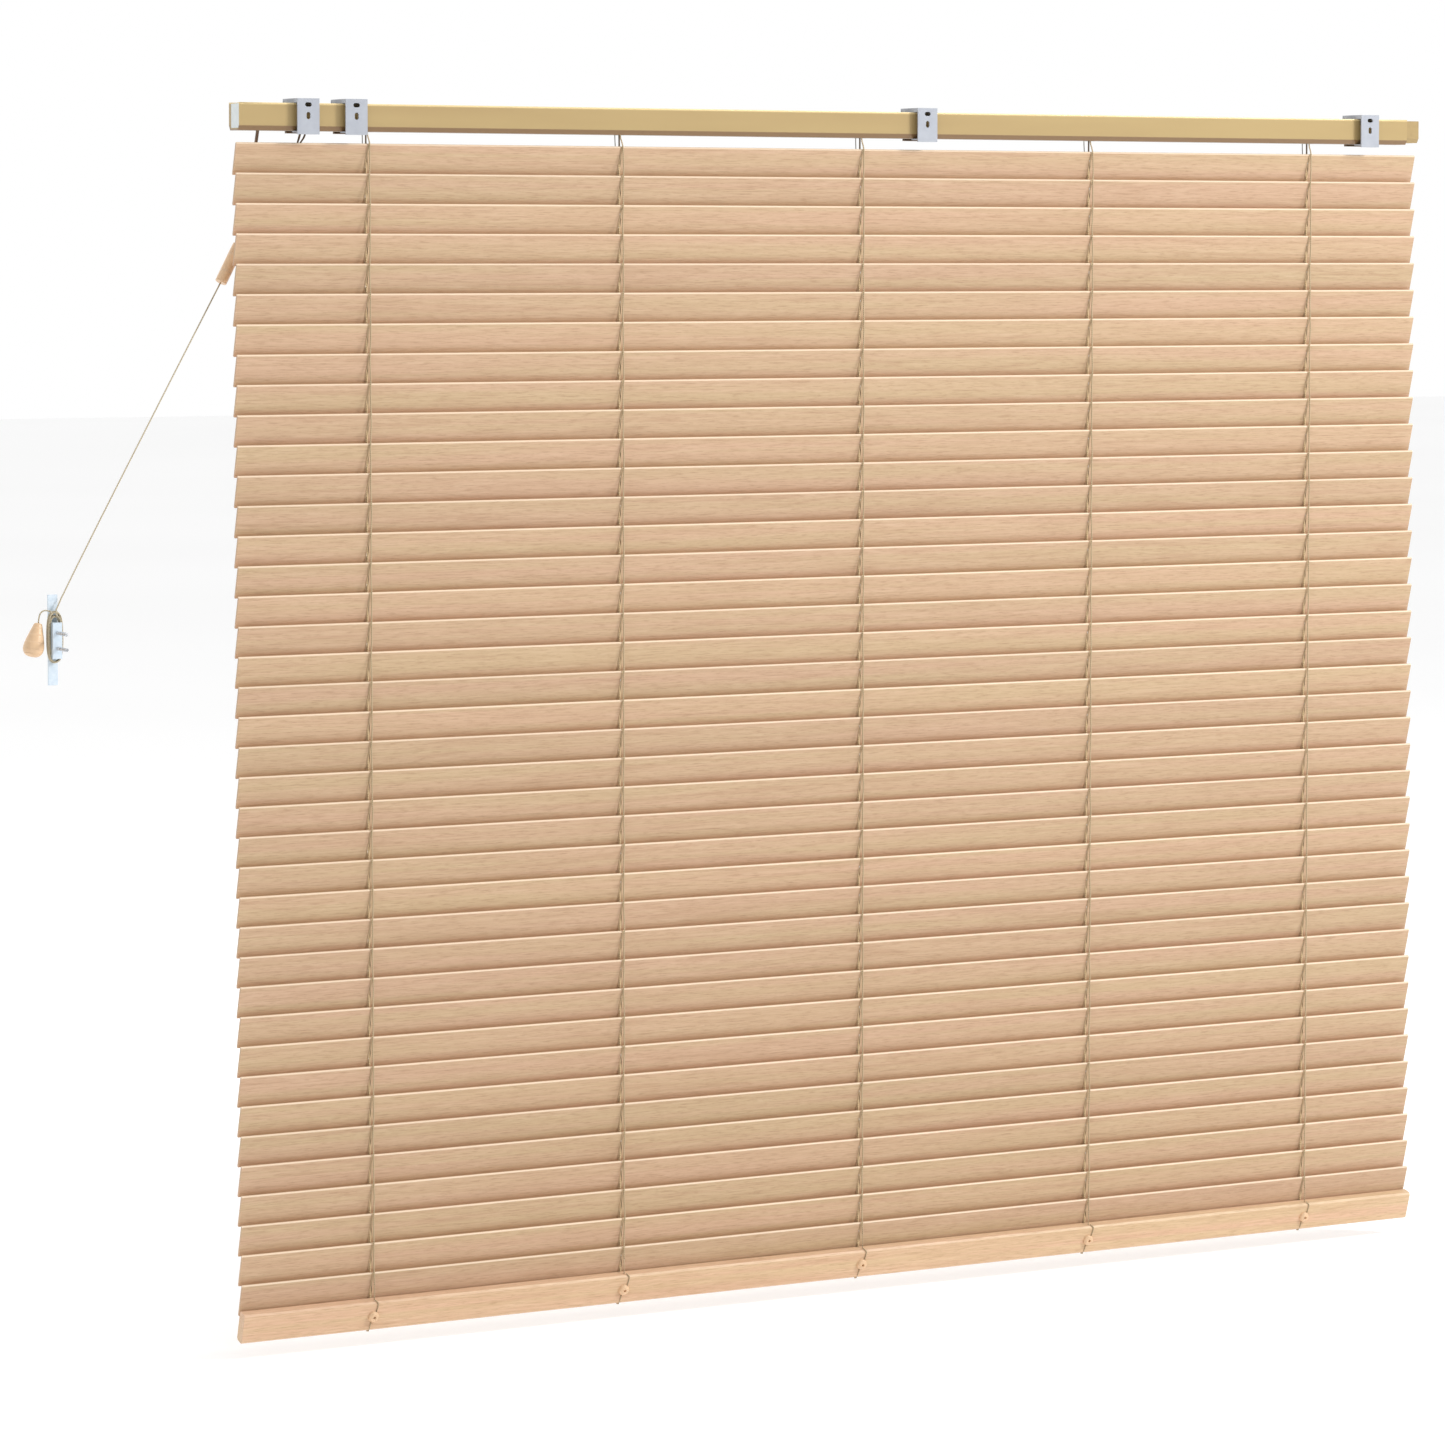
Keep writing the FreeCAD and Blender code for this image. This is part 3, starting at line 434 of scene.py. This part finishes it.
def cleat_finish():
    """Bluish white moulded plastic, and zinc-plated steel on the screws that stand out towards the wall."""
    n = Nodes("cleat plastic and screws")
    y = n.spot()[1]
    skin = n.noise(n.place((1500.0, 1500.0, 1500.0)), detail=2.0)
    mottle = n.noise(n.place((150.0, 150.0, 150.0)), detail=3.0)
    thread = n.noise(n.place((300.0, 1900.0, 300.0)), detail=1.0)
    steel = n.ramp(y, 0.1 * MM, 0.3 * MM)
    plain = n.mix(n.ramp(mottle, 0.3, 0.7), srgb(214, 226, 236), srgb(198, 213, 226))
    screw = n.mix(n.ramp(thread, 0.4, 0.6), srgb(226, 228, 231), srgb(160, 163, 168))
    color = n.mix(steel, plain, screw)
    n.put(n.shader, "Metallic", n.math("MULTIPLY", steel, 0.5))
    return n.finish(color, n.ramp(skin, 0.3, 0.7, 0.24, 0.34), skin, 0.08, 0.0001)


def zinc():
    """Zinc-plated steel, drawn along X."""
    n = Nodes("zinc plate")
    drawn = n.noise(n.place((20.0, 2200.0, 2200.0)), detail=3.0)
    bloom = n.noise(n.place((90.0, 90.0, 90.0)), detail=3.0)
    color = n.mix(n.ramp(bloom, 0.3, 0.7), srgb(196, 199, 204), srgb(172, 176, 182))
    return n.finish(color, n.ramp(drawn, 0.3, 0.7, 0.28, 0.45), drawn, 0.1, 0.0001, Metallic=1.0)


def braid(name, light, dark, strands, pitch, shade_tint=None):
    """Braided cord: two sets of strands wound opposite ways, from the piece's UV (share of a turn, metres).

    A colour of painted shade covers it towards the lock: above the first slat, and on the room side of the
    slats.
    """
    n = Nodes(name)
    uv = n.add("ShaderNodeUVMap", {"uv_map": "UVMap"}).outputs[0]
    parts = n.add("ShaderNodeSeparateXYZ", _0=uv).outputs
    around = n.math("MULTIPLY", parts[0], strands * math.tau)
    along = n.math("MULTIPLY", parts[1], math.tau / pitch)
    one = n.math("SINE", n.math("ADD", around, along))
    two = n.math("SINE", n.math("SUBTRACT", around, along))
    weave = n.math("MAXIMUM", one, two)
    fibre = n.noise(n.place((2500.0, 2500.0, 900.0)), detail=2.0)
    color = n.mix(n.ramp(weave, -0.4, 0.9), dark, light)
    color = n.mix(n.ramp(fibre, 0.35, 0.75, 0.0, 0.3), color, dark)
    # Painted shade: the darker colour lies above the first slat and on the room side, where the cords hang in
    # shade.
    if shade_tint is not None:
        _, y, z = n.spot()
        above = n.ramp(z, SLAT_Z[0] + 14 * MM, SLAT_Z[0] + 17 * MM)
        beyond = n.ramp(y, PIVOT_Y - 5 * MM, PIVOT_Y - 7 * MM)
        color = n.mix(n.math("MULTIPLY", n.math("MAXIMUM", above, beyond), 0.85), color, shade_tint)
    return n.finish(color, 0.8, weave, 0.6, 0.0002, Sheen_Weight=0.2, Sheen_Roughness=0.5)


WOOD = slat_wood()
TURNED = turned_wood()
RAIL = rail_enamel()
BRACKET = bracket_enamel("bracket powder coat")
GATE = bracket_enamel("gate powder coat", True)
FOOT_WOOD = foot_wood()
CAP = cap_finish()
TILTER = plastic("tilter plastic", srgb(128, 104, 84), srgb(106, 84, 66), 0.35, 0.5)
NYLON = plastic("natural nylon", srgb(235, 232, 222), srgb(222, 218, 206), 0.45, 0.6)
CLEAT = cleat_finish()
ZINC = zinc()
LADDER_BRAID = braid("ladder braid", srgb(198, 178, 144), srgb(148, 124, 90), 2, 0.0022)
RUNG_BRAID = braid("rung braid", srgb(224, 198, 158), srgb(182, 154, 114), 2, 0.0018)
SHADED_BRAID = braid("room-side ladder braid", srgb(142, 134, 120), srgb(92, 84, 72), 2, 0.0022)
# The last colour is painted shade for the cords above the first slat and on the room side.
LIFT_BRAID = braid("lift braid", srgb(220, 194, 152), srgb(176, 148, 108), 2, 0.0026, srgb(74, 62, 52))
PULL_BRAID = braid("pull cord braid", srgb(210, 198, 170), srgb(146, 130, 100), 3, 0.0030)

NODE_FINISH = {
    "headrail": RAIL,
    "end_caps": CAP,
    "tilt_rod": ZINC,
    "rod_drums": NYLON,
    "rod_supports": NYLON,
    "worm_shaft": TILTER,
    "cord_lock": ZINC,
    "lock_roller": NYLON,
    "bottom_rail": FOOT_WOOD,
    "wall_brackets": BRACKET,
    "bracket_gates": GATE,
    "cleat": CLEAT,
}
NODE_FINISH.update({name: WOOD for name in SLATS})


def finish_nodes():
    """Give each CAD node that stays in view its material."""
    for name, material in NODE_FINISH.items():
        piece = bpy.data.objects[name]
        piece.data.materials.clear()
        piece.data.materials.append(material)


# ---------------------------------------------------------------- camera
CAMERA_AT = (2.8883, 4.9601, -0.1578)
CAMERA_YAW = 28.596       # degrees from -Y towards -X
CAMERA_PITCH = 3.230      # degrees below the horizon
LENS = 129.23
SHIFT_UP = -0.12


def make_camera():
    """A long lens on the wall side, a little below the headrail, with the frame slid down."""
    data = bpy.data.cameras.new("camera")
    data.sensor_width = 36
    data.lens = LENS
    data.shift_y = SHIFT_UP
    data.clip_end = 100
    camera = bpy.data.objects.new("camera", data)
    yaw, pitch = math.radians(CAMERA_YAW), math.radians(CAMERA_PITCH)
    ahead = Vector((-math.sin(yaw) * math.cos(pitch), -math.cos(yaw) * math.cos(pitch), -math.sin(pitch)))
    camera.matrix_world = Matrix.Translation(CAMERA_AT) @ ahead.to_track_quat("-Z", "Y").to_matrix().to_4x4()
    bpy.context.collection.objects.link(camera)
    bpy.context.scene.camera = camera


# ---------------------------------------------------------------- pull cord, taut and wound on the cleat
CONDENSER_TOP = np.array([0.7294, -0.0586, -0.1460])
CONDENSER_FOOT = np.array([0.7516, -0.0550, -0.1850])
WINDING_TOP = np.array([0.9590, -0.0090, -0.5202])
TAIL = np.array(
    [
        [0.9610, -0.0093, -0.5204],
        [0.9656, -0.0101, -0.5184],
        [0.9704, -0.0110, -0.5198],
        [0.9728, -0.0120, -0.5254],
        [0.9730, -0.0125, -0.5315],
    ]
)
TASSEL_TOP = np.array([0.9730, -0.0125, -0.5315])
TASSEL_FOOT = np.array([0.9806, -0.0125, -0.5660])
PULL_D = 1.5 * MM
WINDING_LOW, WINDING_HIGH = corners("cord_winding")
WINDING_MIDDLE = (WINDING_LOW + WINDING_HIGH) / 2
TURNS = 4
TURN_POINTS = 14


def winding_turns():
    """The cord's turns on the cleat: a flat-sided helix about Y, out towards the room and back over itself.

    Point k is at angle a = tau * k / TURN_POINTS + tau / 4. x is the half width times cos a, z is the half
    width times sin a plus the half height times tanh(2.2 sin a), and y steps by one cord with each turn.
    """
    count = 2 * TURNS * TURN_POINTS
    k = np.arange(count)
    angle = math.tau * k / TURN_POINTS + math.pi / 2
    turn = k / TURN_POINTS
    outer = turn >= TURNS
    half_wide = np.where(outer, 7.9, 6.25) * MM + 0.25 * MM * np.sin(1.7 * turn)
    half_tall = np.where(outer, 18.6, 15.4) * MM + 0.7 * MM * np.sin(2.3 * turn + 1)
    step = (WINDING_HIGH[1] - WINDING_LOW[1] - PULL_D) / TURNS
    y = WINDING_HIGH[1] - PULL_D / 2 - step * np.where(outer, 2 * TURNS - turn, turn)
    x = WINDING_MIDDLE[0] + half_wide * np.cos(angle)
    z = WINDING_MIDDLE[2] + half_wide * np.sin(angle) + half_tall * np.tanh(2.2 * np.sin(angle))
    return np.stack([x, y, z], 1)


def route_line(points):
    """Close-set points along the NURBS line that has points as its control points."""
    curve = bpy.data.curves.new("pull cord route", "CURVE")
    curve.dimensions = "3D"
    curve.resolution_u = 6
    spline = curve.splines.new("NURBS")
    spline.points.add(len(points) - 1)
    spline.points.foreach_set("co", np.column_stack([points, np.ones(len(points))]).ravel())
    spline.order_u = 3
    spline.use_endpoint_u = True
    route = bpy.data.objects.new("pull cord route", curve)
    mesh = bpy.data.meshes.new_from_object(route)
    line = np.empty(len(mesh.vertices) * 3)
    mesh.vertices.foreach_get("co", line)
    bpy.data.meshes.remove(mesh)
    bpy.data.objects.remove(route)
    bpy.data.curves.remove(curve)
    return line.reshape(-1, 3)


def pull_cord_line():
    """The one cord's line: from the condenser straight to the cleat, round it, and into the tassel."""
    line = WINDING_TOP - CONDENSER_FOOT
    near_cleat = WINDING_TOP - 6 * PULL_D * unit(line)
    return route_line(np.concatenate([[CONDENSER_FOOT], [near_cleat], winding_turns(), TAIL[1:]]))


def make_pull_cord(line):
    """A round braided tube along line."""
    side = (0.0, 1.0, 0.0)
    piece = tubes("pull_cord_braided", [line], PULL_D / 2, "frame", PULL_BRAID, sides=10, side=side)
    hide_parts("pull_cord", "cord_winding")
    return piece


def make_tassel():
    """A turned drop with a small collar at the top."""
    outline = [(0, 1.2), (0.01, 3.6), (0.06, 4.6), (0.22, 6.4), (0.45, 9.0)]
    outline += [(0.68, 10.9), (0.84, 10.6), (0.96, 7.6), (1.0, 3.4), (1.006, 0.2)]
    profile = round_over(outline)
    profile[:, 1] *= MM
    piece = turned("tassel_turned", TASSEL_TOP, TASSEL_FOOT, profile, "frame", "turned_wood", TURNED, 48)
    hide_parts("tassel")
    return piece


def make_condenser():
    """The turned barrel where the lift strands meet, with eased ends."""
    upper = [(0.0, 0.9), (0.0, 4.9), (0.0, 6.2), (0.06, 6.3)]
    lower = [(1 - share, radius) for share, radius in upper[::-1]]
    profile = round_over([*upper, (0.5, 6.35), *lower])
    profile[:, 1] *= MM
    ends = CONDENSER_TOP, CONDENSER_FOOT
    piece = turned("condenser_turned", *ends, profile, "frame", "turned_wood", TURNED, 48)
    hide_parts("cord_condenser")
    return piece


# ---------------------------------------------------------------- ladders
def sway(z, seed):
    """A slack cord's small sideways wander along its height, in metres."""
    return 0.35 * MM * np.sin(z * 61 + seed) + 0.25 * MM * np.sin(z * 137 + 2.1 * seed)


def upright(x, y, low, high, seed, step=0.006, wander=1.0):
    """An upright cord's path from low to high, with a share of its own small wander."""
    z = np.linspace(low, high, max(int((high - low) / step), 2) + 1)
    return np.stack([x + wander * sway(z, seed), np.full_like(z, y), z], 1)


INSIDE_RAIL = 4 * MM
FOOT_EDGE_Z = FOOT[2] + 15.1 * MM     # where a wall-side upright meets the bottom rail's upper edge
WINDOW_SHIFT = -1.2 * MM
WINDOW_R = 0.76 * MM
THIN = 0.85                           # the fixed ends hide inside the uprights


def ease(value):
    """0 to 1 with level ends, clamped."""
    value = np.clip(value, 0, 1)
    return value * value * (3 - 2 * value)


def window_upright(x, low, high, seed):
    """A wall-side upright: it leaves the rail 2 mm to the +X side and hangs 1.2 mm to the other side."""
    path = upright(x + WINDOW_SHIFT, WINDOW_Y, low, high, seed, 0.004)
    path[:, 0] += 3.2 * MM * ease((path[:, 2] - RAIL_FLOOR + 13 * MM) / (13 * MM))
    return path


def make_ladders():
    """Uprights that rise and sink with the tilt, and thinner fixed ends that show when they have moved."""
    inside = RAIL_FLOOR + INSIDE_RAIL
    low_end = WINDOW_LOW[2] + 1 * MM
    seeds = [(x, 3.0 * k) for k, x in enumerate(LADDER_X)]
    window = [window_upright(x, WINDOW_LOW[2], inside, seed) for x, seed in seeds]
    piece = tubes("ladder_uprights_window", window, WINDOW_R, "window_ladders", LADDER_BRAID)
    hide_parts("ladder_cords_window")
    room = [upright(x, ROOM_Y, ROOM_LOW[2], inside - TRAVEL, seed) for x, seed in seeds]
    piece = tubes("ladder_uprights_room", room, LADDER_R, "room_ladders", LADDER_BRAID)
    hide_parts("ladder_cords_room")
    top_low = inside - TRAVEL - 2 * MM
    tops = [window_upright(x, top_low, inside, seed) for x, seed in seeds]
    tubes("ladder_tops_window", tops, WINDOW_R * THIN, "frame", LADDER_BRAID)
    slanted = []
    for x, seed in seeds:
        path = upright(x, ROOM_Y, top_low, inside, seed)
        path[:, 1] -= 2.4 * MM * (path[:, 2] - top_low) / (inside - top_low)
        slanted.append(path)
    tubes("ladder_tops_room", slanted, LADDER_R * THIN, "frame", SHADED_BRAID)
    for name, y, gap, aside in (("window", WINDOW_Y, 0.0, WINDOW_SHIFT), ("room", ROOM_Y, 4 * MM, 0.0)):
        ends = [upright(x + aside, y, FOOT_EDGE_Z + gap, low_end, seed) for x, seed in seeds]
        tubes(f"ladder_ends_{name}", ends, LADDER_R * THIN, "frame", LADDER_BRAID)


def make_rungs():
    """Two rungs per ladder under every slat, from the wall-side upright to the room-side one.

    In the slat's own directions a rung runs from the upright down the underside to the lower edge, s from 0
    to 1. Its way off the ladder's line is 0.5 mm above the slot's middle and about 1.4 mm below it, where the
    lift cord comes out between the two, and its height off the wood is its own radius, and more at the edges.
    """
    s = np.linspace(0, 1, 17)
    thin = 0.42 * MM
    rng = np.random.default_rng(7)
    for name in SLATS:
        pivot = HINGES[name]
        paths = []
        for x in LADDER_X:
            for sign in (-1, 1):
                apart = 0.5 + (0.7 + rng.uniform(0, 0.5)) * ease((s - 0.36) / 0.2) - 0.3 * s**4
                across = SLAT_HALF * (1 - 2 * s)
                off = SLAT_SKIN + thin + 0.5 * MM * np.abs(2 * s - 1) ** 6
                path = pivot + across[:, None] * ACROSS + off[:, None] * UNDER
                path[:, 0] = x + sign * apart * MM
                start = np.array([[x + 0.5 * WINDOW_SHIFT, WINDOW_Y, pivot[2] + TRAVEL / 2 + 1.2 * MM]])
                over = pivot - (SLAT_HALF + 0.6 * MM) * ACROSS + 0.2 * MM * UNDER
                over[0] = x + 0.4 * sign * MM
                finish = np.array([over, [x, ROOM_Y, pivot[2] - TRAVEL / 2 + 0.8 * MM]])
                paths.append(np.concatenate([start, path[1:-1], finish]))
        tubes(f"rungs_{name[-2:]}", paths, thin, name, RUNG_BRAID, sides=6)


# ---------------------------------------------------------------- lift cords
LIFT_R = 0.95 * MM
STRAND_R = 0.65 * MM
LOCK_LOW, LOCK_HIGH = corners("cord_lock")
LOCK_X = (LOCK_LOW[0] + LOCK_HIGH[0]) / 2


def make_lift_cords():
    """Five cords down through the slats, and their five strands from the lock to the condenser.

    The strands leave the lock in two bunches that cross behind the first slat, three on the +X side.
    """
    inside = RAIL_FLOOR + INSIDE_RAIL
    cords = [upright(x, PIVOT_Y, FOOT[2], inside, 5.0 + k, wander=0.25) for k, x in enumerate(LADDER_X)]
    parts = [tube(path, LIFT_R) for path in cords]
    for k in range(5):
        bunch = (3.0, 3.5, 2.2, -2.6, -3.5)[k] * MM
        spread = (k - 2) * 0.9 * MM
        knots = np.array(
            [
                [LOCK_X + bunch, -0.0290, RAIL_FLOOR + 6 * MM],
                [LOCK_X + bunch, -0.0308, RAIL_FLOOR - 2 * MM],
                [LOCK_X + 0.9 * bunch + 0.5 * MM, -0.0345, RAIL_FLOOR - 8 * MM],
                [LOCK_X + 6 * MM - 0.3 * bunch, -0.0400 - 0.4 * MM * k, -0.0490],
                [LOCK_X + 18 * MM + spread * 0.6, -0.0485, -0.0720],
                [LOCK_X + 37 * MM + spread * 0.4, -0.0545, -0.1050],
                CONDENSER_TOP + np.array([spread * 0.7, (k % 2) * 0.9 * MM, 0]),
                CONDENSER_TOP + np.array([spread * 0.5 + 1.2 * MM, (k % 2) * 0.9 * MM, -2 * MM]),
            ]
        )
        parts.append(tube(round_over(knots, 7), STRAND_R))
    points, faces, uv = join(parts)
    piece = new_piece("lift_cords_braided", points, faces, "frame", LIFT_BRAID, uv=uv)
    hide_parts("lift_cords")


# ---------------------------------------------------------------- bottom rail: buttons, loops and knots
BUTTON_LOW, BUTTON_HIGH = corners("rail_buttons")
RAIL_HALF = 16.5 * MM
RAIL_UNDER = 7.8 * MM
RAIL_ABOVE = 5.2 * MM


def on_foot(across, under):
    """A point in the bottom rail's section: across towards its upper edge, under out of its underside."""
    return FOOT + across * ACROSS + under * UNDER


def make_buttons():
    """Domed buttons with a sunk eye, pushed in the cord holes of the rail's underside."""
    parts = []
    dome = [(-0.6, 6.05), (0.6, 6.1), (2.2, 5.7), (3.7, 4.1), (4.2, 2.7)]
    eye = [(4.0, 1.7), (3.3, 1.35), (1.0, 1.3)]
    profile = round_over(dome + eye, 5)
    angle = np.linspace(0, math.tau, 32, endpoint=False)
    along_x = np.array([1.0, 0.0, 0.0])
    ring = np.cos(angle)[:, None] * along_x + np.sin(angle)[:, None] * ACROSS
    for x in LADDER_X:
        centre = on_foot(0, RAIL_UNDER)
        centre[0] = x
        depth, radius = (profile * MM).T[:, :, None, None]
        points = centre + depth * UNDER + radius * ring[None]
        row, column = np.meshgrid(np.arange(len(profile) - 1), np.arange(32), indexing="ij")
        here = row * 32 + column
        beside = row * 32 + (column + 1) % 32
        faces = np.stack([here, beside, beside + 32, here + 32], -1).reshape(-1, 4).tolist()
        last = (len(profile) - 1) * 32
        faces.append(list(range(32))[::-1])
        faces.append(list(range(last, last + 32)))
        parts.append((points.reshape(-1, 3), faces, np.zeros((points.size // 3, 2))))
    points, faces, uv = join(parts)
    piece = new_piece("buttons_domed", points, faces, "bottom_rail", TURNED)
    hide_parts("rail_buttons")


def make_foot_loops():
    """Ladder ends drawn round the bottom rail: over its upper and lower edges to the button, with a knot.

    A loop's points are (across, under) in the rail's section and the way off the ladder's line, all in mm.
    """
    r = LADDER_R / MM
    half, below, above = RAIL_HALF / MM, RAIL_UNDER / MM, RAIL_ABOVE / MM
    front = np.array(
        [
            (half + 1.6, below - 2.6, -1.2),
            (half + r, below - 1.4, -2.8),
            (half - 1, below + 0.6 * r, -4.6),
            (half - 5, below + r, -4.4),
            (4.5, below + r, -3.0),
        ]
    )
    back = np.array(
        [
            (-8, -above - r, 0),
            (-13, -above - r, 1.0),
            (-half - r, -above + 2, 2.6),
            (-half - r, below - 2.5, 3.4),
            (-13.5, below + r, 3.0),
            (-4.5, below + r, 2.0),
        ]
    )
    loops, knots = [], []
    for k, x in enumerate(LADDER_X):
        for way in (front, back):
            path = np.array([on_foot(across * MM, under * MM) for across, under, _ in way])
            path[:, 0] = x + way[:, 2] * MM
            loops.append(round_over(path, 6))
        loops[-2][:, 0] -= 0.5 * MM * math.sin(2.6 * k)
        spot = on_foot(-RAIL_HALF - 1.3 * MM, RAIL_UNDER - 3.2 * MM)
        spot[0] = x + 3.4 * MM
        knots.append(spot)
    tubes("ladder_loops", loops, LADDER_R, "bottom_rail", LADDER_BRAID)
    t = np.linspace(0, math.tau, 33)[:-1]
    trefoil = np.stack([np.sin(t) + 2 * np.sin(2 * t), np.cos(t) - 2 * np.cos(2 * t), -np.sin(3 * t)], 1)
    paths = [spot + trefoil * 0.42 * MM for spot in knots]
    tubes("ladder_knots", paths, 0.5 * MM, "bottom_rail", LADDER_BRAID, sides=6, side=(0.3, 0.5, 0.8))


# ---------------------------------------------------------------- wand
WAND_LOW, WAND_HIGH = corners("tilt_wand")


def make_wand():
    """The turned tilt wand, with a slim neck and a swelling grip."""
    middle = (WAND_LOW + WAND_HIGH) / 2
    ball_z = corners("worm_shaft")[0][2] + 2.6 * MM
    length = ball_z - WAND_LOW[2]
    neck = [(-1.4, 4.3), (0.5, 4.4), (2.5, 4.2), (4.4, 2.6), (6, 2.2), (9, 2.2), (12, 3.9), (16, 4.0)]
    grip = [(62, 3.65), (30, 4.6), (14, 5.4), (3, 4.6), (0.3, 2.0), (0, 0.4)]
    grip = [(length / MM - above, radius) for above, radius in grip]
    profile = round_over([*neck, (22, 3.65), (300, 3.6), *grip], 6)
    profile[:, 0] *= MM / length
    profile[:, 1] *= MM
    start = np.array([middle[0], middle[1], ball_z])
    end = np.array([middle[0], middle[1], WAND_LOW[2]])
    piece = turned("wand_turned", start, end, profile, "wand", "turned_wood", TURNED, 32)
    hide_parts("tilt_wand")


# ---------------------------------------------------------------- headrail hems
def make_hems():
    """The channel's rolled upper hems, one along each side."""
    radius = 0.9 * MM
    x = np.linspace(RAIL_LOW[0] + 0.3 * MM, RAIL_HIGH[0] - 0.3 * MM, 40)
    paths = []
    for y in (RAIL_LOW[1] + 0.6 * MM, RAIL_HIGH[1] - 0.6 * MM):
        paths.append(np.stack([x, np.full_like(x, y), np.full_like(x, RAIL_HIGH[2] - 0.6 * MM)], 1))
    tubes("rail_hems", paths, radius, "frame", RAIL, sides=14, side=(0.0, 1.0, 0.0))


# ---------------------------------------------------------------- studio
ROOM_LIGHT = 1.0        # the surround on the room side
WALL_LIGHT = 0.55       # and on the wall side, where the key light adds to it
KEY_AT = (-3.4, 3.6, 2.6)
KEY_POWER = 240
TOP_POWER = 16
ROOM_POWER = 15
FLOOR_REACH = 30.0


def area(name, place, target, size, power):
    """A soft square light at place, aimed at target."""
    data = bpy.data.lights.new(name, "AREA")
    data.size = size
    data.energy = power
    light = bpy.data.objects.new(name, data)
    aim = (Vector(target) - Vector(place)).to_track_quat("-Z", "Y")
    light.matrix_world = Matrix.Translation(place) @ aim.to_matrix().to_4x4()
    bpy.context.collection.objects.link(light)


def make_studio():
    """A plain pale floor in a white surround that lights less from the wall side, where the key light is."""
    world = bpy.data.worlds.new("surround")
    world.use_nodes = True
    tree = world.node_tree
    way = tree.nodes.new("ShaderNodeTexCoord")
    parts = tree.nodes.new("ShaderNodeSeparateXYZ")
    shade = tree.nodes.new("ShaderNodeMapRange")
    for key, value in (("From Min", -0.3), ("From Max", 0.5), ("To Min", ROOM_LIGHT), ("To Max", WALL_LIGHT)):
        shade.inputs[key].default_value = value
    tree.links.new(way.outputs["Generated"], parts.inputs[0])
    tree.links.new(parts.outputs[1], shade.inputs["Value"])
    seen = tree.nodes.new("ShaderNodeLightPath").outputs["Is Camera Ray"]
    strength = tree.nodes.new("ShaderNodeMath")
    strength.operation = "MAXIMUM"
    tree.links.new(shade.outputs[0], strength.inputs[0])
    tree.links.new(seen, strength.inputs[1])
    tree.links.new(strength.outputs[0], tree.nodes["Background"].inputs[1])
    tree.nodes["Background"].inputs[0].default_value = (1.0, 1.0, 1.0, 1.0)
    bpy.context.scene.world = world
    low, high = (np.array(corner) for corner in CAD_BOX)
    centre = (low + high) / 2
    floor_z = low[2] - 0.02
    grid = [[x * FLOOR_REACH, y * FLOOR_REACH, floor_z] for x, y in ((-1, -1), (1, -1), (1, 1), (-1, 1))]
    mesh = bpy.data.meshes.new("floor")
    mesh.from_pydata(grid, [], [[0, 1, 2, 3]])
    n = Nodes("floor")
    cloud = n.noise(n.place((0.5, 0.5, 0.5)), detail=1.0)
    shade = n.mix(n.ramp(cloud, 0.3, 0.7), (0.92, 0.92, 0.92, 1), (0.9, 0.9, 0.9, 1))
    glow = {"Emission_Color": (1.0, 1.0, 1.0, 1.0), "Emission_Strength": 0.2}
    mesh.materials.append(n.finish(shade, 0.9, **glow))
    floor = bpy.data.objects.new("floor", mesh)
    bpy.context.collection.objects.link(floor)
    area("key", KEY_AT, centre, 1.3, KEY_POWER)
    area("above", (0.4, 0.9, 2.4), centre, 1.6, TOP_POWER)
    area("room side", (1.0, -3.4, 0.8), centre, 2.4, ROOM_POWER)


# ---------------------------------------------------------------- making
bpy.context.scene.view_settings.view_transform = "Standard"
make_camera()
cord_line = pull_cord_line()
pull_cord = make_pull_cord(cord_line)
tassel = make_tassel()
condenser = make_condenser()
finish_nodes()
make_ladders()
make_rungs()
make_lift_cords()
make_buttons()
make_foot_loops()
make_wand()
make_hems()
make_studio()
